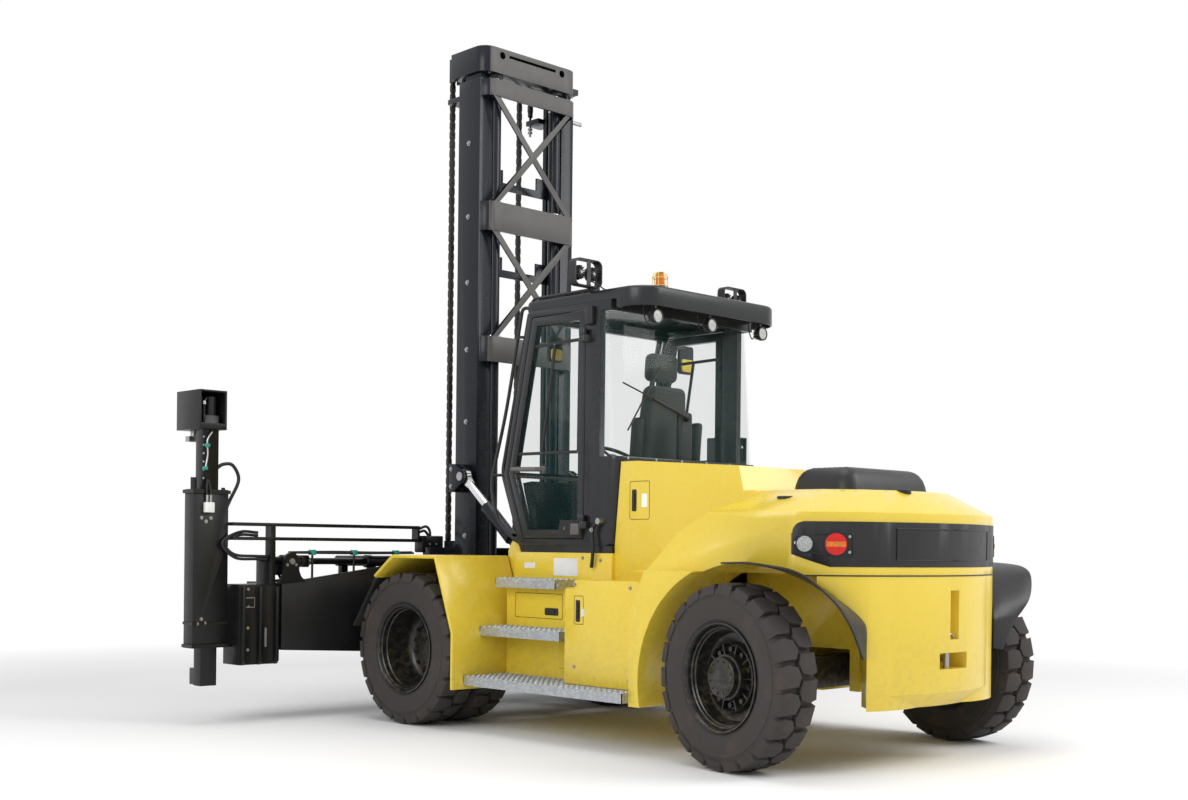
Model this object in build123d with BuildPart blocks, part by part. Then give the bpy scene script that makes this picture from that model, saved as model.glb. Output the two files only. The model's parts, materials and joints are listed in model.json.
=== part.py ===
from build123d import *
import os
from math import cos, hypot, pi, sin

os.makedirs("parts", exist_ok=True)

# Electric empty container handler, millimetres. +X is forward, +Y left, +Z up.
# The origin is on the ground below the middle of the drive axle.

# Running gear
wheelbase = 3095
tyre_radius = 560          # out to the lug tips
tyre_width = 290
lug_height = 34
lug_count = 22             # in each of the two staggered rows
lug_share = 0.62           # of the pitch, at the tip
rim_radius = 320
rim_wall = 14
front_face = 1336          # outer plane of the outer front tyre
twin_gap = 60
rear_face = 1309
kingpin_y = 1000
kingpin_radius = 35
rest_steer = -8.2          # degrees, as the rear wheels stand
drive_spindle = 90
steer_spindle = 60
axle_tube = 140
steer_clear = 655          # radius about the kingpin that the steered wheel needs

# Clearances
fit = 0.05                 # pins and rods that turn or slide
seat = 0.3                 # pieces that only rest against each other
run_gap = 6                # moving pieces past each other

# Chassis and body
ground_gap = 350
plate_in, plate_out = 522, 562      # chassis side plates
frame_top = 1050
frame_rear = -wheelbase + 655       # rear end of the box frame
frame_tail = -wheelbase - 385       # rear end of the tail frame
rear_frame_half = 320
deck_bottom, deck_top = 1100, 1280  # yellow base below the cab
deck_half = 745
body_side = 1100
seam = 1170                         # between counterweight and rear body
weight_bottom = 370
hood_half = 720
hood_top = 1910
hood_rear = -wheelbase + 395        # where the hood falls to the vent deck
vent_front = hood_rear - 40
vent_middle = -wheelbase - 30
vent_top = 1690                     # flat of the deck below the vent cover
vent_share = 0.66                   # of the tail's outline that is flat there
rim_top = 1545                      # rim of the tail, below the sloping deck
fender_half = 1190                  # body side at the rear arch's leg
tow_radius = 20
fender_in, fender_out = 660, 1350
fender_sheet = 25
arch_x, arch_z, arch_radius = -wheelbase + 55, 480, 760
guard_in, guard_low, guard_wide, guard_sheet = 700, 640, 230, 12    # rear mudguards
band_low, band_high, band_depth, band_proud = 1222, 1488, 12, 3
step_in = 850
leg_front = -wheelbase + 895        # front of the rear arch's leg
tread_front = -585 - fender_sheet   # behind the front fender

# Plan outline of the tail: side corner, corner middle, shoulder, tail
corner_x, corner_y = -wheelbase - 255, 1000
bend_x, bend_y = -wheelbase - 515, 790
shoulder_x, shoulder_y = -wheelbase - 625, 550
tail_x = -wheelbase - 735
tow_x = tail_x + 60

# Cab
cab_half = 750
cab_wall = 50
cab_floor_top = 1330
cab_top = 3030
roof_thick = 80
visor_drop, visor_sheet = 60, 14
hinge_x, hinge_y = -1326, 778
hinge_pin = 12

# Mast
pivot_x, pivot_z, pivot_pin = 300, 550, 40
rail_rear, rail_front = 180, 440
rail_half = 500
rail_flange, rail_web = 30, 30
inner_bottom, inner_top = 420, 5050
rail_bottom, rail_top = 300, inner_top - 50
inner_half = 464
lift_x, lift_y = 210, 318
lift_rod, lift_barrel = 35, 48
barrel_top = rail_top - 100
tie_rear, tie_sheet = 100, 25       # cross ties behind the lift cylinders
chain_y, chain_front, sheave_x, sheave_radius = 360, 700, 630, 70
sheave_z = inner_top + 130
chain_end = rail_top - 70           # of the strand that is tied to the outer mast
carriage_rear, carriage_front = 600, 660
tilt_y, tilt_pin = 600, 25
tilt_base = (-460, 1300)            # x, z of the pin on the chassis
tilt_head = (200, 1860)             # x, z of the pin on the mast
tilt_rod, tilt_barrel = 30, 52
tilt_drift = 13                     # room round the mast pin in the rod's eye

# Spreader
shift = -490                        # sideways, as it stands
twist_span = 5853                   # between twist-locks of a twenty-foot box
beam_half = 2400
beam_rear, beam_front = 720, 1220
beam_low, beam_high = 530, 1030
beam_sheet = 20
arm_wall = 12
leg_x, leg_width, leg_depth = 900, 130, 100
leg_foot, leg_head = 284, 2430
sleeve_wall = 14
sleeve_low, sleeve_high = 560, 1710
pad_face = 1010
twist_x = pad_face + 89             # half a corner casting
head_half = 110                     # of the box on top of the leg
twist_pin = 25
ram_z, ram_rod, ram_barrel = 1190, 25, 42


def block(x, y, z, mode=Mode.ADD):
    with Locations(((x[0] + x[1]) / 2, (y[0] + y[1]) / 2, (z[0] + z[1]) / 2)):
        Box(abs(x[1] - x[0]), abs(y[1] - y[0]), abs(z[1] - z[0]), mode=mode)


def rod(start, end, radius, mode=Mode.ADD):
    along = Vector(*end) - Vector(*start)
    with Locations(Plane(origin=start, z_dir=along)):
        Cylinder(radius, along.length, align=(Align.CENTER, Align.CENTER, Align.MIN), mode=mode)


def side_plate(points, y, mode=Mode.ADD):
    """An outline in X and Z, as thick as the stretch of Y."""
    with BuildSketch(Plane(origin=(0, max(y), 0), x_dir=(1, 0, 0), z_dir=(0, -1, 0))) as outline:
        with BuildLine():
            Polyline(*points, close=True)
        make_face()
    extrude(outline.sketch, amount=abs(y[1] - y[0]), mode=mode)


def cross_plate(points, x, mode=Mode.ADD):
    """An outline in Y and Z, as thick as the stretch of X."""
    with BuildSketch(Plane(origin=(min(x), 0, 0), x_dir=(0, 1, 0), z_dir=(1, 0, 0))) as outline:
        with BuildLine():
            Polyline(*points, close=True)
        make_face()
    extrude(outline.sketch, amount=abs(x[1] - x[0]), mode=mode)


def turned(points, x, z, mode=Mode.ADD):
    """An outline of Y and radius, turned about an axle along Y at x, z."""
    with BuildSketch(Plane(origin=(x, 0, z), x_dir=(0, 1, 0), z_dir=(1, 0, 0))) as outline:
        with BuildLine():
            Polyline(*points, close=True)
        make_face()
    revolve(outline.sketch, axis=Axis((x, 0, z), (0, 1, 0)), mode=mode)


def body_half(x):
    return corner_y + (fender_half - corner_y) * (x - corner_x) / (leg_front - corner_x)


def tail_outline(front, front_half, grow=0, share=1):
    """Plan of the tail behind a straight front; a share below 1 draws it in round the vent cover."""
    def drawn_in(x, y):
        return (vent_middle + share * (x - vent_middle), share * y)

    with BuildLine() as outline:
        Polyline(drawn_in(corner_x, corner_y), (front, share * front_half), (front, -share * front_half),
                 drawn_in(corner_x, -corner_y))
        for start, middle, end in (((corner_x, -corner_y), (bend_x, -bend_y), (shoulder_x, -shoulder_y)),
                                   ((shoulder_x, -shoulder_y), (tail_x, 0), (shoulder_x, shoulder_y)),
                                   ((shoulder_x, shoulder_y), (bend_x, bend_y), (corner_x, corner_y))):
            ThreePointArc(drawn_in(*start), drawn_in(*middle), drawn_in(*end))
    make_face(outline.edges())
    if grow:
        offset(amount=grow, mode=Mode.REPLACE)


def steer_room():
    """Hollows above and beside the steered wheels, as far as they swing."""
    top = tyre_radius * 2 + 30
    for y in (kingpin_y, -kingpin_y):
        with BuildSketch(Plane(origin=(-wheelbase, y, 0), x_dir=(1, 0, 0), z_dir=(0, -1, 0))) as swing:
            with BuildLine():
                Polyline((340, top), (0, top), (0, 0), (steer_clear, 0), (steer_clear, 700))
                ThreePointArc((steer_clear, 700), (560, 960), (340, top))
            make_face()
        revolve(swing.sketch, axis=Axis((-wheelbase, y, 0), (0, 0, 1)), mode=Mode.SUBTRACT)


def save(part, label):
    part.label = label
    export_step(part, f"parts/{label}.step")


# Wheels


def tyre(x, y_out, side):
    """One tyre: sidewalls turned about the axle, and two staggered rows of lugs."""
    root = tyre_radius - lug_height
    y_in = y_out - side * tyre_width
    y_mid = (y_out + y_in) / 2
    bead = rim_radius + seat
    inset = side * 26
    turned([(y_out - inset, bead), (y_out, bead + 90), (y_out - inset / 2, root - 16),
            (y_in + inset / 2, root - 16), (y_in, bead + 90), (y_in + inset, bead)], x, tyre_radius)
    pitch = 2 * pi / lug_count
    for row, (y_low, y_high) in enumerate(((y_in, y_mid), (y_mid, y_out))):
        start = -pi / 2 + row * pitch / 2
        corners = []
        for lug in range(lug_count):
            middle = start + lug * pitch
            for radius, turn in ((root, -0.42), (tyre_radius, -0.5 * lug_share),
                                 (tyre_radius, 0.5 * lug_share), (root, 0.42)):
                angle = middle + turn * pitch
                corners.append((radius * cos(angle), radius * sin(angle)))
        edge = 6
        ends = sorted((y_low, y_high))
        ends = (ends[0] + edge * (ends[0] == min(y_in, y_out)),
                ends[1] - edge * (ends[1] == max(y_in, y_out)))
        with BuildSketch(Plane(origin=(x, ends[1], tyre_radius), x_dir=(1, 0, 0),
                               z_dir=(0, -1, 0))) as lugs:
            with BuildLine():
                Polyline(*corners, close=True)
            make_face()
            Circle(root - 40, mode=Mode.SUBTRACT)
        extrude(lugs.sketch, amount=ends[1] - ends[0])


def steered(part, side):
    return part.rotate(Axis((-wheelbase, side * kingpin_y, 0), (0, 0, 1)), rest_steer)


twin_step = tyre_width + twin_gap
for name, side in (("left", 1), ("right", -1)):
    with BuildPart() as front_tyres:
        for y_out in (front_face, front_face - twin_step):
            tyre(0, side * y_out, side)
    save(front_tyres.part, f"tyres_front_{name}")

    inside = rim_radius - rim_wall
    rim_in = front_face - twin_step - tyre_width + 5
    rim_out = front_face - 5
    disc = front_face - 306
    with BuildPart() as front_rim:
        bore = drive_spindle + fit
        turned([(side * y, r) for y, r in (
            (rim_in, inside), (rim_in, rim_radius), (rim_out, rim_radius), (rim_out, inside),
            (disc + 26, inside), (disc, 230), (disc, 150), (disc + 60, 145), (disc + 78, 120),
            (disc + 78, 0), (disc + 40, 0), (disc + 40, bore), (rim_in + 22, bore), (rim_in + 22, 150),
            (disc - 30, 150), (disc - 30, inside))], 0, tyre_radius)
    save(front_rim.part, f"rim_front_{name}")

    with BuildPart() as rear_tyre:
        tyre(-wheelbase, side * rear_face, side)
    save(steered(rear_tyre.part, side), f"tyre_rear_{name}")

    rim_in = rear_face - tyre_width + 6
    rim_out = rear_face - 6
    disc = rear_face - 165
    with BuildPart() as rear_rim:
        bore = steer_spindle + fit
        turned([(side * y, r) for y, r in (
            (rim_in, inside), (rim_in, rim_radius), (rim_out, rim_radius), (rim_out, inside),
            (disc + 8, inside), (disc, 270), (disc, 212), (disc + 38, 206), (disc + 38, 155),
            (disc + 96, 148), (disc + 96, 116),
            (disc + 140, 110), (disc + 146, 0), (disc + 118, 0), (disc + 118, bore), (disc - 76, bore),
            (disc - 76, 105), (disc - 26, 105), (disc - 26, inside))], -wheelbase, tyre_radius)
    save(steered(rear_rim.part, side), f"rim_rear_{name}")

    knuckle_half, ear_gap = 62, 105
    steer_arm_low = tyre_radius + 82
    with BuildPart() as knuckle:
        block((-wheelbase - knuckle_half, -wheelbase + knuckle_half),
              (side * (kingpin_y - knuckle_half), side * (kingpin_y + knuckle_half)),
              (tyre_radius - ear_gap, tyre_radius + ear_gap))
        pin = (-wheelbase, side * kingpin_y)
        rod((*pin, tyre_radius - 170), (*pin, tyre_radius + 170), kingpin_radius)
        rod((*pin, tyre_radius), (-wheelbase, side * (disc + 110), tyre_radius), steer_spindle)
        block((-wheelbase, -wheelbase + 200), (side * (kingpin_y + 22), side * (kingpin_y + 60)),
              (steer_arm_low, steer_arm_low + 20))
    save(steered(knuckle.part, side), f"knuckle_{name}")

# Axles
with BuildPart() as drive_axle:
    flange_out = front_face - twin_step - tyre_width
    rod((0, -flange_out, tyre_radius), (0, flange_out, tyre_radius), axle_tube)
    rod((0, -front_face + 276, tyre_radius), (0, front_face - 276, tyre_radius), drive_spindle)
    for side in (1, -1):
        rod((0, side * (flange_out - 50), tyre_radius), (0, side * (flange_out - 5), tyre_radius), 190)
    turned([(-250, 0), (-250, 120), (-120, 205), (120, 205), (250, 120), (250, 0)], -30, tyre_radius)
    rod((-30, 90, tyre_radius), (-272, 90, tyre_radius), 120)
save(drive_axle.part, "drive_axle")

with BuildPart() as steer_axle:
    beam_half_x = 88
    ear_low, ear_high = ear_gap + 6, ear_gap + 46
    cross_plate([(-860, 492), (-560, 462), (560, 462), (860, 492),
                 (860, 628), (560, 650), (-560, 650), (-860, 628)],
                (-wheelbase - beam_half_x, -wheelbase + beam_half_x))
    for side in (1, -1):
        block((-wheelbase - 68, -wheelbase + 68), (side * 780, side * 890),
              (tyre_radius - ear_high, tyre_radius + ear_high))
        for up in (1, -1):
            ears = sorted((tyre_radius + up * ear_low, tyre_radius + up * ear_high))
            block((-wheelbase - 75, -wheelbase + 75), (side * 800, side * kingpin_y), ears)
            rod((-wheelbase, side * kingpin_y, ears[0]), (-wheelbase, side * kingpin_y, ears[1]), 75)
            rod((-wheelbase, side * kingpin_y, ears[0]), (-wheelbase, side * kingpin_y, ears[1]),
                kingpin_radius + fit, Mode.SUBTRACT)
    rod((-wheelbase - 270, 0, tyre_radius), (-wheelbase + 270, 0, tyre_radius), 80)
save(steer_axle.part, "steer_axle")

# Chassis
with BuildPart() as chassis:
    for side in (1, -1):
        side_plate([(frame_rear + 40, ground_gap), (frame_rear + 40, frame_top), (-300, frame_top),
                    (200, 800), (380, 620), (380, 480), (250, 440), (-240, 380), (-300, ground_gap)],
                   (side * plate_in, side * plate_out))
        rod((0, side * (plate_in - 20), tyre_radius), (0, side * (plate_out + 20), tyre_radius), 195)
        rod((pivot_x, side * (plate_in - 5), pivot_z), (pivot_x, side * (plate_out + 12), pivot_z), 85)
        for inner, outer in ((555, 575), (625, 645)):
            side_plate([(-560, frame_top), (-560, 1180), (-520, 1350), (-430, 1360), (-385, 1290),
                        (-385, frame_top)], (side * inner, side * outer))
        block((-560, -385), (side * 555, side * 645), (frame_top - 40, frame_top + 60))
        rod((tilt_base[0], side * 555, tilt_base[1]), (tilt_base[0], side * 645, tilt_base[1]), tilt_pin)
        block((frame_rear, frame_tail), (side * 280, side * rear_frame_half), (700, seam))
    block((frame_rear + 40, -280), (-plate_in, plate_in), (ground_gap, ground_gap + 30))
    block((-320, -280), (-plate_in, plate_in), (ground_gap, frame_top))
    block((frame_rear, frame_rear + 50), (-plate_out, plate_out), (ground_gap, frame_top))
    block((frame_rear, frame_tail), (-rear_frame_half, rear_frame_half), (1000, seam))
    for x in (-wheelbase - 255, -wheelbase + 185):
        block((x, x + 70), (-rear_frame_half, rear_frame_half), (440, 1010))
    side_plate([(-1590, deck_bottom - 60), (-1590, deck_top), (-590, deck_top), (-570, deck_bottom),
                (-570, deck_bottom - 60)], (-deck_half, deck_half))
    block((-1560, -600), (-plate_in, plate_in), (deck_bottom - 60, deck_bottom + 100), Mode.SUBTRACT)
    for side in (1, -1):
        plate_ends = (side * (plate_in - 30), side * (plate_out + 30))
        for x, z, radius in ((0, tyre_radius, axle_tube + seat), (pivot_x, pivot_z, pivot_pin + fit)):
            rod((x, plate_ends[0], z), (x, plate_ends[1], z), radius, Mode.SUBTRACT)
    rod((-wheelbase - 300, 0, tyre_radius), (-wheelbase + 300, 0, tyre_radius), 80 + seat, Mode.SUBTRACT)
save(chassis.part, "chassis_frame")

with BuildPart() as battery:
    block((frame_rear + 70, -1360), (-plate_in + 20, plate_in - 20), (ground_gap + 30, deck_bottom - 60))
save(battery.part, "battery_pack")

with BuildPart() as fenders:
    inner = [(-585, 300), (-585, 700), (-385, 1225), (110, 1225), (330, 1075)]
    outer = [(350, 1090), (120, 1225 + fender_sheet), (-400, 1225 + fender_sheet),
             (-585 - fender_sheet, 706), (-585 - fender_sheet, 300)]
    flap = [(330, 1075), (350, 1090), (640, 705), (628, 695)]
    side_plate(inner + outer, (fender_in, fender_out))
    side_plate(flap, (fender_in + 20, fender_out - 20))
    mirror(about=Plane.XZ)
save(fenders.part, "front_fenders")

with BuildPart() as side_boxes:
    block((leg_front, -1592), (plate_out, body_side), (400, deck_bottom))
    block((-1592, -1500), (plate_out, body_side), (400, deck_bottom - 60))
    block((-1500, tread_front), (plate_out, step_in), (ground_gap, deck_bottom - 60))
    block((-1470, -1190), (step_in, step_in + 12), (470, 660))
    mirror(about=Plane.XZ)
save(side_boxes.part, "side_boxes")

# Grating steps: rear end, outer edge, top, inner edge
treads = ((leg_front, 1250, 400, step_in), (-1450, 1100, 750, step_in), (-1250, 960, 1095, deck_half))
with BuildPart() as steps:
    for rear, out, top, start in treads:
        block((rear, tread_front), (start, out), (top - 45, top))
        block((rear, tread_front), (out - 12, out), (top - 70, top))
        slots = int((tread_front - rear) / 90)
        for slot in range(slots):
            x = rear + 45 + (slot + 0.5) * (tread_front - rear - 90) / slots
            block((x - 28, x + 28), (start + 30, out - 40), (top - 50, top + 5), Mode.SUBTRACT)
    mirror(about=Plane.XZ)
save(steps.part, "step_treads")

# Counterweight and tail
with BuildPart() as weight:
    with BuildSketch(Plane.XY.offset(weight_bottom)):
        tail_outline(corner_x + 50, corner_y)
    extrude(amount=seam - weight_bottom)
    chamfer(weight.faces().sort_by(Axis.Z)[0].edges().sort_by(Axis.X)[:1], 90)
    block((frame_tail, corner_x + 150), (-1100, 1100), (300, seam + 10), Mode.SUBTRACT)
    steer_room()
    block((tail_x - 20, tail_x + 90), (-48, 48), (780, 1080), Mode.SUBTRACT)
    block((tail_x - 20, tail_x + 150), (-150, 150), (600, 700), Mode.SUBTRACT)
    rod((tow_x, 0, 560), (tow_x, 0, 740), tow_radius + seat, Mode.SUBTRACT)
save(weight.part, "counterweight")

with BuildPart() as tow_pin:
    rod((tow_x, 0, 560), (tow_x, 0, 740), tow_radius)
save(tow_pin.part, "tow_pin")

# Below the tapered ends of the band: x, z
band_end = [(corner_x + 30, band_low - 5), (corner_x + 30, band_low + 85), (corner_x - 190, band_low - 1),
            (corner_x - 190, band_low - 5)]

with BuildPart() as band_groove:
    with BuildSketch(Plane.XY.offset(band_low - seat)):
        tail_outline(corner_x + 150, corner_y + 60, 60)
    extrude(amount=band_high - band_low + 2 * seat)
    with BuildSketch(Plane.XY.offset(band_low - seat)):
        tail_outline(corner_x + 150, corner_y + 60, -band_depth - seat)
    extrude(amount=band_high - band_low + 2 * seat, mode=Mode.SUBTRACT)
    block((corner_x, corner_x + 350), (-1300, 1300), (1000, 1700), Mode.SUBTRACT)
    side_plate([(x, z - seat) for x, z in band_end], (-1300, 1300), Mode.SUBTRACT)

# Tail lamps of the left side: share of the corner's arc, radius
lamps = ((0.13, 36), (0.43, 45))
lamp_z = (band_low + band_high) / 2
with BuildLine() as corner_arc:
    ThreePointArc((corner_x, corner_y), (bend_x, bend_y), (shoulder_x, shoulder_y))


def lamp_rod(share, side, inner, outer, radius, mode=Mode.ADD):
    """A rod square to the rear corner, from inside its face to outside it."""
    place, run = corner_arc.line @ share, corner_arc.line % share
    ends = [(place.X + out * run.Y, side * (place.Y - out * run.X), lamp_z) for out in (inner, outer)]
    rod(*ends, radius, mode)


with BuildPart() as rear_body:
    with BuildSketch(Plane.XY.offset(seam)):
        tail_outline(leg_front, fender_half)
    extrude(amount=rim_top - seam)
    with BuildSketch(Plane.XY.offset(rim_top)) as deck_foot:
        tail_outline(vent_front, body_half(vent_front))
    with BuildSketch(Plane.XY.offset(vent_top)) as deck_head:
        tail_outline(vent_front, body_half(vent_front), share=vent_share)
    loft([deck_foot.sketch, deck_head.sketch], ruled=True)
    side_plate([(leg_front + 5, seam), (leg_front - 130, seam + 10), (leg_front - 360, 1420),
                (leg_front - 560, rim_top - 15), (leg_front - 760, vent_top + 10),
                (leg_front + 100, vent_top + 10), (leg_front + 100, seam)], (-1300, 1300), Mode.SUBTRACT)
    for side in (1, -1):
        side_plate([(leg_front, 310), (leg_front, 900), (leg_front - 130, seam + 10),
                    (leg_front - 700, seam + 10),
                    (leg_front - 700, 310)], (side * 700, side * fender_half))
    side_plate([(-1592, deck_bottom), (-1592, cab_floor_top), (-1646, hood_top), (-1800, hood_top),
                (hood_rear, 1850),
                (vent_front, vent_top), (vent_front - 100, vent_top), (vent_front - 100, seam + 130),
                (leg_front - 100, seam), (leg_front, deck_bottom)], (-hood_half, hood_half))
    for side in (1, -1):
        rod((arch_x, side * 640, arch_z), (arch_x, side * 1400, arch_z), arch_radius, Mode.SUBTRACT)
    add(band_groove.part, mode=Mode.SUBTRACT)
    for share, radius in lamps:
        for side in (1, -1):
            lamp_rod(share, side, -26, 60, radius + seat, Mode.SUBTRACT)
save(rear_body.part, "rear_body")

with BuildPart() as lamp_band:
    with BuildSketch(Plane.XY.offset(band_low)):
        tail_outline(corner_x + 150, corner_y + 60, band_proud)
    extrude(amount=band_high - band_low)
    with BuildSketch(Plane.XY.offset(band_low)):
        tail_outline(corner_x + 150, corner_y + 60, -band_depth)
    extrude(amount=band_high - band_low, mode=Mode.SUBTRACT)
    block((corner_x - seat, corner_x + 350), (-1300, 1300), (1000, 1700), Mode.SUBTRACT)
    side_plate(band_end, (-1300, 1300), Mode.SUBTRACT)
    for share, radius in lamps:
        for side in (1, -1):
            lamp_rod(share, side, -120, 60, radius + seat, Mode.SUBTRACT)
save(lamp_band.part, "lamp_band")

with BuildPart() as tail_lamps:
    for share, radius in lamps:
        for side in (1, -1):
            lamp_rod(share, side, -24, 9, radius)
save(tail_lamps.part, "tail_lamps")

cover_height, cover_count, slot_half = 150, 6, 20
with BuildPart() as vent_cover:
    with BuildSketch(Plane.XY.offset(vent_top + seat)):
        with Locations((vent_middle, 0)):
            RectangleRounded(490, 900, 90)
    extrude(amount=cover_height, taper=22)
    fillet(vent_cover.faces().sort_by(Axis.Z)[-1].edges(), 22)
    for slot in range(cover_count):
        x = vent_middle + (slot - (cover_count - 1) / 2) * 58
        block((x - slot_half, x + slot_half), (-330, 330),
              (vent_top + cover_height - 40, vent_top + cover_height + 20), Mode.SUBTRACT)
save(vent_cover.part, "vent_cover")

# Lower end of the left mudguard, what is cut off it: y, z
guard_end = [(1400, 1180), (1290, 1060), (960, 700), (900, 640), (900, 600), (1500, 600), (1500, 1180)]
with BuildPart() as mudguards:
    with BuildSketch(Plane.XY.offset(guard_low)):
        tail_outline(leg_front, fender_half, guard_wide)
    extrude(amount=seam - guard_low + 100)
    with BuildSketch(Plane.XY.offset(guard_low)):
        tail_outline(leg_front, fender_half, seat)
    extrude(amount=seam - guard_low + 100, mode=Mode.SUBTRACT)
    with BuildSketch(Plane(origin=(arch_x, 2 * fender_half, arch_z), x_dir=(1, 0, 0), z_dir=(0, -1, 0))):
        Circle(arch_radius + guard_sheet / 2)
        Circle(arch_radius - guard_sheet / 2, mode=Mode.SUBTRACT)
    extrude(amount=4 * fender_half, mode=Mode.INTERSECT)
    block((arch_x + 60, 0), (-1600, 1600), (0, 2000), Mode.SUBTRACT)
    block((tail_x - 300, 0), (-guard_in, guard_in), (0, 2000), Mode.SUBTRACT)
    for side in (1, -1):
        cross_plate([(side * y, z) for y, z in guard_end], (tail_x - 300, arch_x), Mode.SUBTRACT)
save(mudguards.part, "rear_mudguards")

# Cab: outline from the side, and the door opening inside it
cab_side = [(-640, cab_floor_top), (-450, 1850), (-710, cab_top), (-1560, cab_top), (-1640, 1930),
            (-1590, cab_floor_top)]
door_side = [(-1312, 1375), (-671, 1375), (-497, 1853), (-746, 2985), (-1312, 2985)]
hinge_heights = (1500, 2800)
rear_post = -1460                   # behind it the rear pane wraps round the corners
rear_pane = (1950, 2960)
rear_lean = 73                      # of the rear pane, over its height


def screen_x(z):
    return -450 - (z - 1850) * 0.2203 if z >= 1850 else -640 + (z - cab_floor_top) * 0.3654


with BuildPart() as cab_floor:
    block((-1585, -645), (-deck_half, deck_half), (deck_top, cab_floor_top))
save(cab_floor.part, "cab_floor")

with BuildPart() as cab_frame:
    side_plate(cab_side, (-cab_half, cab_half))
    with BuildSketch(Plane(origin=(0, cab_half - cab_wall, 0), x_dir=(1, 0, 0), z_dir=(0, -1, 0))):
        with BuildLine():
            Polyline(*cab_side, close=True)
        make_face()
        offset(amount=-cab_wall, mode=Mode.REPLACE)
    extrude(amount=2 * (cab_half - cab_wall), mode=Mode.SUBTRACT)
    side_plate(door_side, (-cab_half - 10, cab_half + 10), Mode.SUBTRACT)
    block((-900, -300), (-690, 690), (1400, 1830), Mode.SUBTRACT)
    block((-900, -300), (-690, 690), (1870, 2960), Mode.SUBTRACT)
    block((-1750, rear_post), (-cab_half - 10, cab_half + 10), rear_pane, Mode.SUBTRACT)
    block((-1500, -760), (-690, 690), (2900, 3100), Mode.SUBTRACT)
    block((-1540, -690), (-690, 690), (1300, 1400), Mode.SUBTRACT)
    for side in (1, -1):
        for height in hinge_heights:
            block((hinge_x - 50, hinge_x), (side * (cab_half - 5), side * (hinge_y + 14)),
                  (height - 50, height))
            rod((hinge_x, side * hinge_y, height - 50), (hinge_x, side * hinge_y, height), 22)
            rod((hinge_x, side * hinge_y, height), (hinge_x, side * hinge_y, height + 45), hinge_pin)
save(cab_frame.part, "cab_frame")

with BuildPart() as cab_glass:
    for low, high in ((1400 + seat, 1830 - seat), (1870 + seat, 2960 - seat)):
        side_plate([(screen_x(low) - 20, low), (screen_x(high) - 20, high), (screen_x(high) - 28, high),
                    (screen_x(low) - 28, low)], (-690 + seat, 690 - seat))
    with BuildSketch(Plane.XY.offset(rear_pane[0] + seat)) as wrapped:
        with Locations((-1338, 0)):
            Rectangle(600, 2 * (cab_half - 4))
        fillet(wrapped.vertices().group_by(Axis.X)[0], 130)
        offset(amount=-8, mode=Mode.SUBTRACT)
    extrude(wrapped.sketch, amount=rear_pane[1] - rear_pane[0] - 2 * seat,
            dir=(rear_lean, 0, rear_pane[1] - rear_pane[0]))
    block((rear_post - seat, -900), (-cab_half, cab_half), rear_pane, Mode.SUBTRACT)
save(cab_glass.part, "cab_glass")

roof_rear, roof_front, visor_front = -1870, -640, -1600
with BuildPart() as cab_roof:
    with BuildSketch(Plane.XY.offset(cab_top)) as roof_outline:
        with Locations(((roof_rear + roof_front) / 2, 0)):
            Rectangle(roof_front - roof_rear, 2 * cab_half - 20)
        fillet(roof_outline.vertices().group_by(Axis.X)[0], 200)
        fillet(roof_outline.vertices().group_by(Axis.X)[-1], 80)
    extrude(amount=roof_thick)
    fillet(cab_roof.faces().sort_by(Axis.Z)[-1].edges(), 25)
    with BuildSketch(Plane.XY.offset(cab_top - visor_drop)) as visor_outline:
        with Locations(((roof_rear + visor_front) / 2, 0)):
            Rectangle(visor_front - roof_rear, 2 * cab_half - 20)
        fillet(visor_outline.vertices().group_by(Axis.X)[0], 200)
        offset(amount=-visor_sheet, mode=Mode.SUBTRACT)
    extrude(amount=visor_drop)
    block((visor_front - visor_sheet - 1, visor_front + 1), (-cab_half + 60, cab_half - 60),
          (cab_top - visor_drop - 1, cab_top), Mode.SUBTRACT)
save(cab_roof.part, "cab_roof")

for name, side in (("left", 1), ("right", -1)):
    with BuildPart() as door:
        with BuildSketch(Plane(origin=(0, max(side * (cab_half - cab_wall), side * cab_half), 0),
                               x_dir=(1, 0, 0), z_dir=(0, -1, 0))):
            with BuildLine():
                Polyline(*door_side, close=True)
            make_face()
            offset(amount=-run_gap, mode=Mode.REPLACE)
        extrude(amount=cab_wall)
        with BuildSketch(Plane(origin=(0, max(side * (cab_half - cab_wall), side * cab_half), 0),
                               x_dir=(1, 0, 0), z_dir=(0, -1, 0))):
            with BuildLine():
                Polyline(*door_side, close=True)
            make_face()
            offset(amount=-run_gap - 62, mode=Mode.REPLACE)
        extrude(amount=cab_wall, mode=Mode.SUBTRACT)
        for height in hinge_heights:
            block((hinge_x, hinge_x + 41), (side * (cab_half + 6), side * (hinge_y + 14)),
                  (height + seat, height + 45))
            block((hinge_x + 26, hinge_x + 41), (side * (cab_half - 10), side * (hinge_y + 14)),
                  (height + seat, height + 45))
            rod((hinge_x, side * hinge_y, height + seat), (hinge_x, side * hinge_y, height + 45), 22)
            rod((hinge_x, side * hinge_y, height - 5), (hinge_x, side * hinge_y, height + 60),
                hinge_pin + fit, Mode.SUBTRACT)
    save(door.part, f"door_{name}")
    with BuildPart() as door_glass:
        with BuildSketch(Plane(origin=(0, max(side * 722, side * 730), 0), x_dir=(1, 0, 0),
                               z_dir=(0, -1, 0))):
            with BuildLine():
                Polyline(*door_side, close=True)
            make_face()
            offset(amount=-run_gap - 62 - seat, mode=Mode.REPLACE)
        extrude(amount=8)
    save(door_glass.part, f"door_glass_{name}")

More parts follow.
